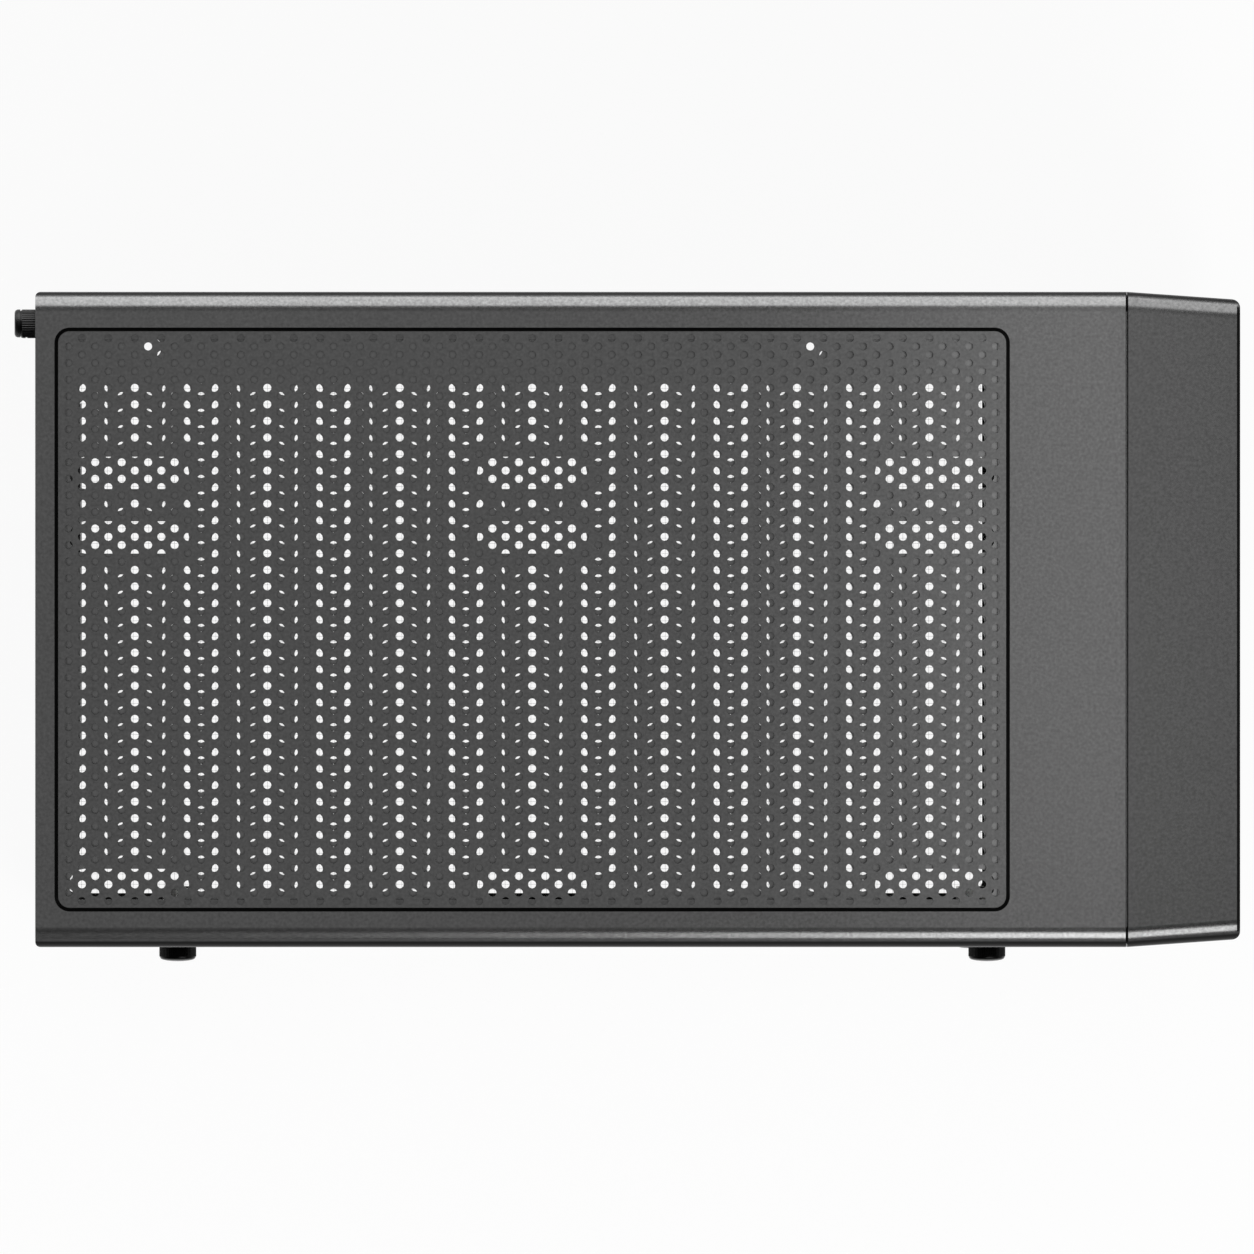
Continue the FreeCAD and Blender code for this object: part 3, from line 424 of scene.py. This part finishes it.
def ribbed_heads_tree():
    """A turned head with ribs round its rim, set on every place."""
    group, n, given = tree("ribbed_heads", {
        "Head": "Object", "Ribs": "Int", "Rim radius": "Float", "Rib radius": "Float", "Rib length": "Float",
        "Rib height": "Float", "Turn": "Vector"})
    rim = n.node("GeometryNodeMeshCircle", {}, {"Vertices": given["Ribs"], "Radius": given["Rim radius"]})
    rib = n.node("GeometryNodeMeshCylinder", {},
                 {"Vertices": 6, "Radius": given["Rib radius"], "Depth": given["Rib length"]})
    ribs = n.node("GeometryNodeInstanceOnPoints", {}, {"Points": rim, "Instance": rib})
    ribs = n.node("GeometryNodeTransform", {}, {0: ribs, "Translation": upright(n, given["Rib height"])})
    head = n.node("GeometryNodeObjectInfo", {}, {0: given["Head"]}, "Geometry")
    each = n.node("GeometryNodeInstanceOnPoints", {},
                  {"Points": given["Places"], "Instance": joined(n, head, ribs), "Rotation": given["Turn"]})
    closing(n, each, given)
    return group


def set_heads_tree():
    """One turned piece set on every place."""
    group, n, given = tree("set_heads", {"Head": "Object", "Turn": "Vector"})
    head = n.node("GeometryNodeObjectInfo", {}, {0: given["Head"]}, "Geometry")
    each = n.node("GeometryNodeInstanceOnPoints", {},
                  {"Points": given["Places"], "Instance": head, "Rotation": given["Turn"]})
    closing(n, each, given)
    return group


def shown(name, mesh):
    piece = bpy.data.objects.new(name, mesh)
    bpy.context.scene.collection.objects.link(piece)
    return piece


def dress(piece, body, slot, *stands_for):
    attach(piece, body)
    if stands_for:
        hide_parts(*stands_for)
    return piece


def grown(name, group, places, values, lay=None):
    """Runs a tree on a set of places and keeps its result as a plain mesh."""
    seed = bpy.data.meshes.new(name + "_places")
    seed.from_pydata(places, [], [])
    piece = shown(name, seed)
    run = piece.modifiers.new("grow", "NODES")
    run.node_group = group
    for item in group.interface.items_tree:
        if item.in_out == "INPUT" and item.name in values:
            run[item.identifier] = values[item.name]
    bpy.context.view_layer.update()
    mesh = bpy.data.meshes.new_from_object(piece.evaluated_get(bpy.context.evaluated_depsgraph_get()))
    piece.modifiers.clear()
    piece.data = mesh
    mesh.name = name
    bpy.data.meshes.remove(seed)
    if lay:
        mesh.transform(lay)
    return piece


def ring_points(x, y, radius, count):
    angles = [2 * math.pi * i / count for i in range(count)]
    return [(x + radius * math.cos(angle), y + radius * math.sin(angle)) for angle in angles]


def round_ended(x, y, length, width, steps):
    """Outline of a slot with round ends along X."""
    points = []
    for end in (1, -1):
        for i in range(steps + 1):
            angle = math.pi * (i / steps - 0.5)
            reach = (length - width) / 2 + width / 2 * math.cos(angle)
            points.append((x + end * reach, y + end * width / 2 * math.sin(angle)))
    return points


def round_cornered(x, y, length, width, radius, steps):
    """Outline of a plate with rounded corners."""
    points = []
    for corner, (sx, sy) in enumerate(((1, 1), (-1, 1), (-1, -1), (1, -1))):
        for i in range(steps + 1):
            angle = math.pi / 2 * (corner + i / steps)
            points.append((x + sx * (length / 2 - radius) + radius * math.cos(angle),
                           y + sy * (width / 2 - radius) + radius * math.sin(angle)))
    return points


def area(loop):
    return sum(a[0] * b[1] - b[0] * a[1] for a, b in zip(loop, loop[1:] + loop[:1])) / 2


def inside(point, loop):
    x, y = point
    hit = False
    for a, b in zip(loop, loop[1:] + loop[:1]):
        if (a[1] > y) != (b[1] > y) and x < a[0] + (y - a[1]) / (b[1] - a[1]) * (b[0] - a[0]):
            hit = not hit
    return hit


def field_loops(centres, along, across):
    """Closed outlines of a field of cells; those round gaps in it run the other way."""
    steps = [(-1, -1), (0, -1), (1, -1), (1, 0), (1, 1), (0, 1), (-1, 1), (-1, 0)]
    ahead = {}
    for x, y in centres:
        ring = [(round((x + dx * along / 2) * GRID), round((y + dy * across / 2) * GRID)) for dx, dy in steps]
        for start, end in zip(ring, ring[1:] + ring[:1]):
            if start in ahead.get(end, ()):
                ahead[end].remove(start)
            else:
                ahead.setdefault(start, []).append(end)
    loops = []
    ahead = {start: ends for start, ends in ahead.items() if ends}
    while ahead:
        start = next(iter(ahead))
        loop = [start]
        while True:
            end = ahead[loop[-1]].pop()
            if not ahead[loop[-1]]:
                del ahead[loop[-1]]
            if end == start:
                break
            loop.append(end)
        loops.append([(x / GRID, y / GRID) for x, y in loop])
    return loops


def plain_sheet(name, outline, centres, along, across, openings, thickness, top):
    """The unpunched part of a sheet, with its rim and its wider openings."""
    loops = field_loops(centres, along, across)
    gaps = [loop for loop in loops if area(loop) < 0]
    fields = [loop for loop in loops if area(loop) > 0]
    held = [[loop for loop in openings if inside(loop[0], gap)] for gap in gaps]
    loose = [loop for loop in openings if not any(inside(loop[0], gap) for gap in gaps)]
    groups = [[outline] + fields + loose] + [[gap] + inner for gap, inner in zip(gaps, held)]
    form = bmesh.new()
    corner = {}

    def vertex(x, y, z):
        key = (round(x * GRID), round(y * GRID), z)
        if key not in corner:
            corner[key] = form.verts.new((x, y, z))
        return corner[key]

    def face(points):
        if len(set(points)) == len(points) and not form.faces.get(points):
            form.faces.new(points)

    for group in groups:
        flat = [point for loop in group for point in loop]
        for a, b, c in tessellate_polygon([[Vector((x, y, 0)) for x, y in loop] for loop in group]):
            trio = [flat[a], flat[b], flat[c]]
            if area(trio) < 0:
                trio.reverse()
            face([vertex(x, y, top) for x, y in trio])
            face([vertex(x, y, top - thickness) for x, y in reversed(trio)])
    for loop, outer in [(outline, True)] + [(loop, False) for loop in openings]:
        turn = loop if (area(loop) > 0) == outer else loop[::-1]
        for a, b in zip(turn, turn[1:] + turn[:1]):
            face([vertex(*a, top), vertex(*a, top - thickness), vertex(*b, top - thickness), vertex(*b, top)])
    mesh = bpy.data.meshes.new(name)
    form.to_mesh(mesh)
    form.free()
    return shown(name, mesh)


def punched_sheet(name, outline, centres, pitch, hole, openings, thickness, top, worn, lay=None):
    plain = plain_sheet(name + "_plain", outline, centres, *pitch, openings, thickness, top)
    piece = grown(name, punched, [(x, y, top) for x, y in centres], {
        "Hole radius": hole, "Pitch along": pitch[0], "Pitch across": pitch[1], "Thickness": thickness,
        "Plain sheet": plain, "Finish": worn}, lay)
    bpy.data.objects.remove(plain)
    return piece


def staggered(columns, rows):
    """Places of holes about a middle, with every second column set half a step along."""
    column_step, row_step = stagger_pitch
    places = []
    for i in range(-columns, columns + 1):
        odd = i % 2
        for k in range(-rows, rows + 1 - odd):
            places.append((column_step * i, row_step * k + row_step / 2 * odd))
    return places


punched = punched_sheet_tree()
ribbed = ribbed_heads_tree()
headed = set_heads_tree()
stagger_pitch = (4 * MM, 5 * MM)

# Perforated top filter: the holes along its border are cut out one by one
filter_hole = 1.22 * MM
filter_cells = []
filter_edge_holes = []
for x, y in staggered(35, 17):
    at = (filter_x + x, filter_y + y)
    at_corner = abs(x) > 138 * MM and abs(y) > 80 * MM
    if abs(y) > 83 * MM or at_corner:
        filter_edge_holes.append(ring_points(*at, filter_hole, HOLE_SIDES))
    else:
        filter_cells.append(at)
filter_outline = round_cornered(filter_x, filter_y, filter_high.x - filter_low.x, filter_high.y - filter_low.y,
                                filter_corner, CORNER_STEPS)
top_filter = punched_sheet("perforated_top_filter", filter_outline, filter_cells, stagger_pitch, filter_hole,
                           filter_edge_holes, filter_high.z - filter_low.z, filter_high.z,
                           finishes["filter_paint"])
dress(top_filter, "top_filter", "filter_paint", "top_filter")

# Chassis top under it: a square lattice of larger holes round nine fan slots, and two fixing holes
sheet_low, sheet_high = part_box("chassis_top")
vent_x = filter_x
vent_y = filter_y - 5.46 * MM
vent_pitch = 5 * MM
vent_hole = 1.8 * MM
slot_width = 9.75 * MM
slot_clearance = 3.5 * MM
fan_slots = [(vent_x + dx * MM, vent_y + dy * MM, length * MM)
             for dx, length in ((-121.8, 36.3), (0, 33.2), (121.8, 36.3)) for dy in (-74.75, 30.25, 49.75)]
fixing_y = 84.4 * MM
fixing_hole = 3.3 * MM
sheet_corner = 0.5 * MM


def slot_gap(x, y):
    """Least distance from a place to the edge of a fan slot."""
    gaps = []
    for middle_x, middle_y, length in fan_slots:
        beyond = max(abs(x - middle_x) - (length - slot_width) / 2, 0)
        gaps.append(math.hypot(beyond, y - middle_y))
    return min(gaps) - slot_width / 2


lattice = [(vent_x + vent_pitch * i, vent_y + vent_pitch * k) for i in range(-27, 28) for k in range(-15, 16)]
lattice = [(x, y) for x, y in lattice if slot_gap(x, y) > slot_clearance]
sheet_openings = [round_ended(x, y, length, slot_width, CORNER_STEPS) for x, y, length in fan_slots]
sheet_openings += [ring_points(vent_x + dx * MM, fixing_y, fixing_hole, 20) for dx in (-115.3, 84.65)]
sheet_outline = round_cornered((sheet_low.x + sheet_high.x) / 2, (sheet_low.y + sheet_high.y) / 2,
                               sheet_high.x - sheet_low.x, sheet_high.y - sheet_low.y, sheet_corner, 2)
chassis_top = punched_sheet("perforated_chassis_top", sheet_outline, lattice, (vent_pitch, vent_pitch), vent_hole,
                            sheet_openings, sheet_high.z - sheet_low.z, sheet_high.z,
                            finishes["top_sheet_finish"])
dress(chassis_top, "chassis", "filter_paint", "chassis_top")

# Front mesh: laid out flat and then stood up behind the bezel window
mesh_low, mesh_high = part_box("front_mesh")
mesh_y = (mesh_low.y + mesh_high.y) / 2
mesh_z = (mesh_low.z + mesh_high.z) / 2
mesh_hole = 1.25 * MM
mesh_corner = 12 * MM
mesh_cells = [(mesh_y + x, mesh_z + y) for x, y in staggered(18, 34)]
mesh_outline = round_cornered(mesh_y, mesh_z, mesh_high.y - mesh_low.y, mesh_high.z - mesh_low.z,
                              mesh_corner, CORNER_STEPS)
stand_up = Matrix(((0, 0, 1, 0), (1, 0, 0, 0), (0, 1, 0, 0), (0, 0, 0, 1)))
front_mesh = punched_sheet("perforated_front_mesh", mesh_outline, mesh_cells, stagger_pitch, mesh_hole, [],
                           mesh_high.x - mesh_low.x, mesh_high.x, finishes["filter_paint"], stand_up)
dress(front_mesh, "front", "filter_paint", "front_mesh")


def lathe_profile(low, tip=0.0, high=()):
    """(radius, height) pairs from millimetres; the low ones count from the seat, the high ones from the tip."""
    return [(r * MM, h * MM) for r, h in low] + [(r * MM, tip + h * MM) for r, h in high]


def turned(name, profile, sides, cross=None):
    """A turned form about Z from (radius, height) pairs, with a cross recess in its end if one is given."""
    form = bmesh.new()
    rings = []
    for radius, height in profile:
        if radius == 0:
            rings.append([form.verts.new((0, 0, height))])
        else:
            rings.append([form.verts.new((x, y, height)) for x, y in ring_points(0, 0, radius, sides)])
    for low, high in zip(rings, rings[1:]):
        for i in range(sides):
            j = (i + 1) % sides
            ring = [low[i % len(low)], low[j % len(low)], high[j % len(high)], high[i % len(high)]]
            form.faces.new(list(dict.fromkeys(ring)))
    if cross:
        arm, bar, depth = cross
        taper = 0.7
        plan = []
        for quarter in range(4):
            turn = Matrix.Rotation(quarter * math.pi / 2, 2)
            plan += [tuple(turn @ Vector(point)) for point in ((bar, bar), (bar, arm), (-bar, arm))]
        end = profile[-1][1]
        upper = [form.verts.new((x, y, end)) for x, y in plan]
        lower = [form.verts.new((x * taper, y * taper, end - depth)) for x, y in plan]
        every = rings[-1] + upper
        for trio in tessellate_polygon([[v.co.xy.to_3d() for v in loop] for loop in (rings[-1], upper)]):
            form.faces.new([every[i] for i in trio])
        for i in range(len(plan)):
            j = (i + 1) % len(plan)
            form.faces.new([upper[i], upper[j], lower[j], lower[i]])
        form.faces.new(lower)
    form.normal_update()
    bmesh.ops.recalc_face_normals(form, faces=form.faces)
    mesh = bpy.data.meshes.new(name)
    form.to_mesh(mesh)
    form.free()
    for polygon in mesh.polygons:
        polygon.use_smooth = len(polygon.vertices) == 4 and not cross
    return mesh


def facing(axis):
    """Turn that stands a piece made along Z on another axis."""
    quarter = math.pi / 2
    return {"-Y": (quarter, 0, 0), "-X": (0, -quarter, 0), "+X": (0, quarter, 0)}[axis]


def fasteners(name, group, mesh, places, axis, worn, **sizes):
    pattern = shown(name + "_pattern", mesh)
    values = {"Head": pattern, "Turn": facing(axis), "Finish": worn}
    values.update({key.replace("_", " "): value for key, value in sizes.items()})
    piece = grown(name, group, places, values)
    bpy.data.objects.remove(pattern)
    bpy.data.meshes.remove(mesh)
    return piece


# Thumb nuts of the glass and thumb screws of the steel side, knurled round their rims
nut_low, nut_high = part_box("glass_nuts")
glass_face = glass_low.y
nut_reach = glass_face - nut_low.y
nut_r = 5.6 * MM
nut_columns = (nut_low.x + nut_r, nut_high.x - nut_r)
nut_rows = (nut_low.z + nut_r, nut_high.z - nut_r)
nut_places = [(x, glass_face, z) for x in nut_columns for z in nut_rows]
nut_profile = lathe_profile(
    ((0, -8.5), (2.0, -8.5), (2.3, -8.0), (2.3, 0), (5.1, 0), (5.38, 0.25)), nut_reach,
    ((5.38, -1.2), (5.2, -0.85), (4.6, -0.5), (3.2, -0.2), (1.6, -0.05), (0, 0)))
nut_mesh = turned("thumb_nut", nut_profile, 48)
nuts = fasteners("knurled_glass_nuts", ribbed, nut_mesh, nut_places, "-Y", finishes["black_nut"],
                 Ribs=60, Rim_radius=5.36 * MM, Rib_radius=0.22 * MM,
                 Rib_length=nut_reach - 1.9 * MM, Rib_height=(nut_reach - 1.0 * MM) / 2)
dress(nuts, "glass", "black_metal", "glass_nuts")

screw_low, screw_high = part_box("panel_screws")
screw_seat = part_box("side_panel")[0].x
screw_reach = screw_seat - screw_low.x
screw_r = 3.65 * MM
screw_y = (screw_low.y + screw_high.y) / 2
screw_places = [(screw_seat, screw_y, z) for z in (screw_low.z + screw_r, screw_high.z - screw_r)]
screw_profile = lathe_profile(
    ((0, -6.5), (1.3, -6.5), (1.7, -6.0), (1.7, 0), (3.9, 0), (4.05, 0.2)), screw_reach,
    ((4.05, -2.1), (3.85, -2.0), (3.85, -1.8), (4.25, -1.7), (4.25, -0.9), (4.0, -0.35), (3.5, -0.05), (3.1, 0)))
screw_cross = (2.1 * MM, 0.45 * MM, 1.4 * MM)
screw_mesh = turned("thumb_screw", screw_profile, 40, screw_cross)
thumb_screws = fasteners("knurled_panel_screws", ribbed, screw_mesh, screw_places, "-X", finishes["black_metal"],
                         Ribs=36, Rim_radius=4.02 * MM, Rib_radius=0.24 * MM,
                         Rib_length=screw_reach - 2.6 * MM, Rib_height=(screw_reach - 2.0 * MM) / 2)
dress(thumb_screws, "steel_side", "black_metal", "panel_screws")

# Hex screws of the slot covers, rivets of the rear panel and screws of the port board
slot_low, slot_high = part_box("slot_screws")
slot_seat = slot_low.y + 2.4 * MM
slot_x = (slot_low.x + slot_high.x) / 2
hex_width = 6.8 * MM
slot_count = 7
slot_run = slot_high.z - slot_low.z - hex_width
slot_places = [(slot_x, slot_seat, slot_low.z + slot_run * i / (slot_count - 1) + hex_width / 2)
               for i in range(slot_count)]
hex_profile = lathe_profile(
    ((0, -3.6), (1.2, -3.6), (1.4, -3.2), (1.4, 0), (3.2, 0), (3.3, 0.3), (3.0, 0.6), (3.0, 2.1), (2.7, 2.35)))
hex_cross = (1.5 * MM, 0.4 * MM, 1.2 * MM)
hex_mesh = turned("hex_head", hex_profile, 6, hex_cross)
slot_screws = fasteners("slot_cover_screws", headed, hex_mesh, slot_places, "-Y", finishes["black_metal"])
dress(slot_screws, "chassis", "black_metal", "slot_screws")

rear_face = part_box("rear_panel")[0].x
rivet_profile = lathe_profile(
    ((2.2, 0), (2.2, 0.15), (1.9, 0.45), (1.2, 0.62), (0.7, 0.65), (0.6, 0.4), (0, 0.35)))
rivet_mesh = turned("rivet", rivet_profile, 20)
rivet_marks = ((-84, 150), (-84, 250), (-84, 320), (-84, 444), (-10, 446), (40, 446), (-60, 119), (20, 119))
rivet_places = [(rear_face, y * MM, z * MM) for y, z in rivet_marks]
rivets = fasteners("rear_rivets", headed, rivet_mesh, rivet_places, "-X", finishes["black_metal"])
dress(rivets, "chassis", "black_metal")

board_low, board_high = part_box("io_board")
board_z = (board_low.z + board_high.z) / 2
board_inset = 5 * MM
board_places = [(board_low.x, y, board_z) for y in (board_low.y + board_inset, board_high.y - board_inset)]
pan_profile = lathe_profile(((2.6, 0), (2.6, 0.6), (2.2, 1.3), (1.6, 1.6)))
pan_cross = (1.2 * MM, 0.3 * MM, 0.8 * MM)
pan_mesh = turned("pan_head", pan_profile, 20, pan_cross)
board_screws = fasteners("port_board_screws", headed, pan_mesh, board_places, "-X", finishes["zinc"])
dress(board_screws, "front", "zinc")


def port_piece(name, node, body, slot, profile, sides=48):
    """A turned piece on the bezel's port line, in place of its plain solid."""
    low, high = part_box(node)
    mesh = turned(name, profile(high.x), sides)
    middle = Matrix.Translation((0, (low.y + high.y) / 2, (low.z + high.z) / 2))
    mesh.transform(middle @ Euler(facing("+X")).to_matrix().to_4x4())
    mesh.materials.append(finishes[slot])
    return dress(shown(name, mesh), body, slot, node)


def cap_profile(radius):
    """Profile of a dished button cap with a rim behind the bezel and a stem."""
    rim = radius + 1.2 * MM
    wall = radius - 0.03 * MM
    stem = 2.0 * MM

    def profile(tip):
        seat = tip + 0.2 * MM - 3.3 * MM
        rim_back = seat - 1.4 * MM
        stem_end = seat - 3.4 * MM
        return [(0, stem_end), (stem, stem_end), (stem, rim_back), (rim, rim_back), (rim, seat), (wall, seat),
                (wall, tip - 0.35 * MM), (radius - 0.3 * MM, tip - 0.05 * MM), (radius - 0.7 * MM, tip),
                (radius * 0.8, tip - 0.12 * MM), (radius * 0.4, tip - 0.45 * MM), (0, tip - 0.55 * MM)]
    return profile


def jack_profile(tip):
    """Profile of a jack's barrel with a blind bore."""
    back = board_high.x
    barrel = 3.2 * MM
    bore = 1.8 * MM
    lip = 0.3 * MM
    return [(0, back), (barrel, back), (barrel, tip - lip), (2.9 * MM, tip), (2.0 * MM, tip), (bore, tip - lip),
            (bore, back + 1.0 * MM), (0, back + 0.8 * MM)]


def lens_profile(tip):
    """Profile of a light pipe with a rounded end."""
    back = board_high.x
    pipe = 1.45 * MM
    return [(0, back), (pipe, back), (pipe, tip - 0.4 * MM), (1.1 * MM, tip - 0.1 * MM), (0.6 * MM, tip), (0, tip)]


port_piece("dished_power_button", "power_button", "power_button", "port_plastic", cap_profile(7.0 * MM), 64)
port_piece("dished_reset_button", "reset_button", "reset_button", "port_plastic", cap_profile(2.5 * MM))
port_piece("headset_jack_one", "audio_jack_1", "front", "port_plastic", jack_profile)
port_piece("headset_jack_two", "audio_jack_2", "front", "port_plastic", jack_profile)
port_piece("light_pipe", "light_lens", "front", "lens_clear", lens_profile, 32)


def rays(n, first, *others):
    """1 for light rays of any of the named kinds."""
    found = n.node("ShaderNodeLightPath", {}, {}, f"Is {first} Ray")
    for other in others:
        found = found.either(n.node("ShaderNodeLightPath", {}, {}, f"Is {other} Ray"))
    return found


def backdrop(n, colour, strength):
    return n.node("ShaderNodeBackground", {}, {"Color": colour, "Strength": strength})


def studio():
    """Pale floor and white room about the case."""
    floor_finish, n = finish("pale_studio_floor")
    seen = rays(n, "Camera", "Glossy", "Transmission")
    speck = n.noise(40.0, 3.0)
    matte = n.node("ShaderNodeBsdfDiffuse", {}, {"Color": n.mix(speck, grey(0.86), grey(0.88))})
    white = n.node("ShaderNodeEmission", {}, {"Color": WHITE, "Strength": 1.0})
    n.surface(n.mix_shaders(seen * 0.93, matte, white))
    reach = 40.0
    corners = [(-reach, -reach, 0), (reach, -reach, 0), (reach, reach, 0), (-reach, reach, 0)]
    mesh = bpy.data.meshes.new("studio_floor")
    mesh.from_pydata(corners, [], [(0, 1, 2, 3)])
    mesh.materials.append(floor_finish)
    shown("studio_floor", mesh)

    room = bpy.data.worlds.new("studio_room")
    room.use_nodes = True
    bpy.context.scene.world = room
    n = Nodes(room.node_tree)
    up = n.node("ShaderNodeSeparateXYZ", {}, {0: n.node("ShaderNodeTexCoord", {}, {}, "Generated")}, "Z")
    wall_stops = ((0.0, 1.0), (0.04, 1.0), (0.12, 0.22), (0.8, 0.1), (0.9, 0.05), (0.974, 0.05), (0.99, 0.6),
                  (1.0, 0.63))
    shade = n.node("ShaderNodeValToRGB", {"stops": wall_stops}, {0: up})
    straight = rays(n, "Camera", "Transmission")
    lit = n.mix_shaders(rays(n, "Glossy"), backdrop(n, WHITE, 0.55), backdrop(n, shade, 1.0))
    n.surface(n.mix_shaders(straight, lit, backdrop(n, grey(0.97), 1.0)), "ShaderNodeOutputWorld")


def softbox(name, at, toward, wide, tall, radiance):
    lamp = bpy.data.lights.new(name, "AREA")
    lamp.shape = "RECTANGLE"
    lamp.size = wide
    lamp.size_y = tall
    lamp.energy = radiance * math.pi * wide * tall
    box = bpy.data.objects.new(name, lamp)
    bpy.context.scene.collection.objects.link(box)
    box.location = at
    box.rotation_euler = (Vector(toward) - Vector(at)).to_track_quat("-Z", "Y").to_euler()
    box.visible_camera = False
    return box


def view_from_above():
    """A long lens high over the case, front to the right, a little back and aside of its middle.

    From there the lower nuts stay hidden and the rear holes look past the slot covers.
    """
    lens = bpy.data.cameras.new("overhead_camera")
    lens.sensor_width = 36.0
    lens.lens = 1663.2
    lens.clip_start = 0.5
    lens.clip_end = 60.0
    view = bpy.data.objects.new("overhead_camera", lens)
    height = 17.5
    back, aside = -0.1, 0.075
    view.location = (back, aside, cover_high.z + height)
    view.rotation_euler = (-math.atan(aside / height), math.atan(back / height), 0)
    bpy.context.scene.collection.objects.link(view)
    bpy.context.scene.camera = view


studio()
aim_z = 0.46
softbox("overhead_softbox", (0.154, 0.195, 1.05), (0.154, 0.195, aim_z), wide=0.112, tall=0.62, radiance=0.94)
softbox("overhead_fill", (-0.1, 0.3, 1.1), (-0.1, 0.3, aim_z), wide=0.6, tall=0.4, radiance=0.13)
right_strip = softbox("right_side_strip", (0.0, 0.97, 0.85), (0.0, 0.1, aim_z), wide=2.4, tall=1.15, radiance=3.6)
right_strip.visible_diffuse = False
softbox("left_side_softbox", (0.43, -0.85, 1.14), (0.43, -0.09, aim_z), wide=0.7, tall=0.6, radiance=7.8)
view_from_above()
bpy.context.scene.view_settings.view_transform = "Standard"
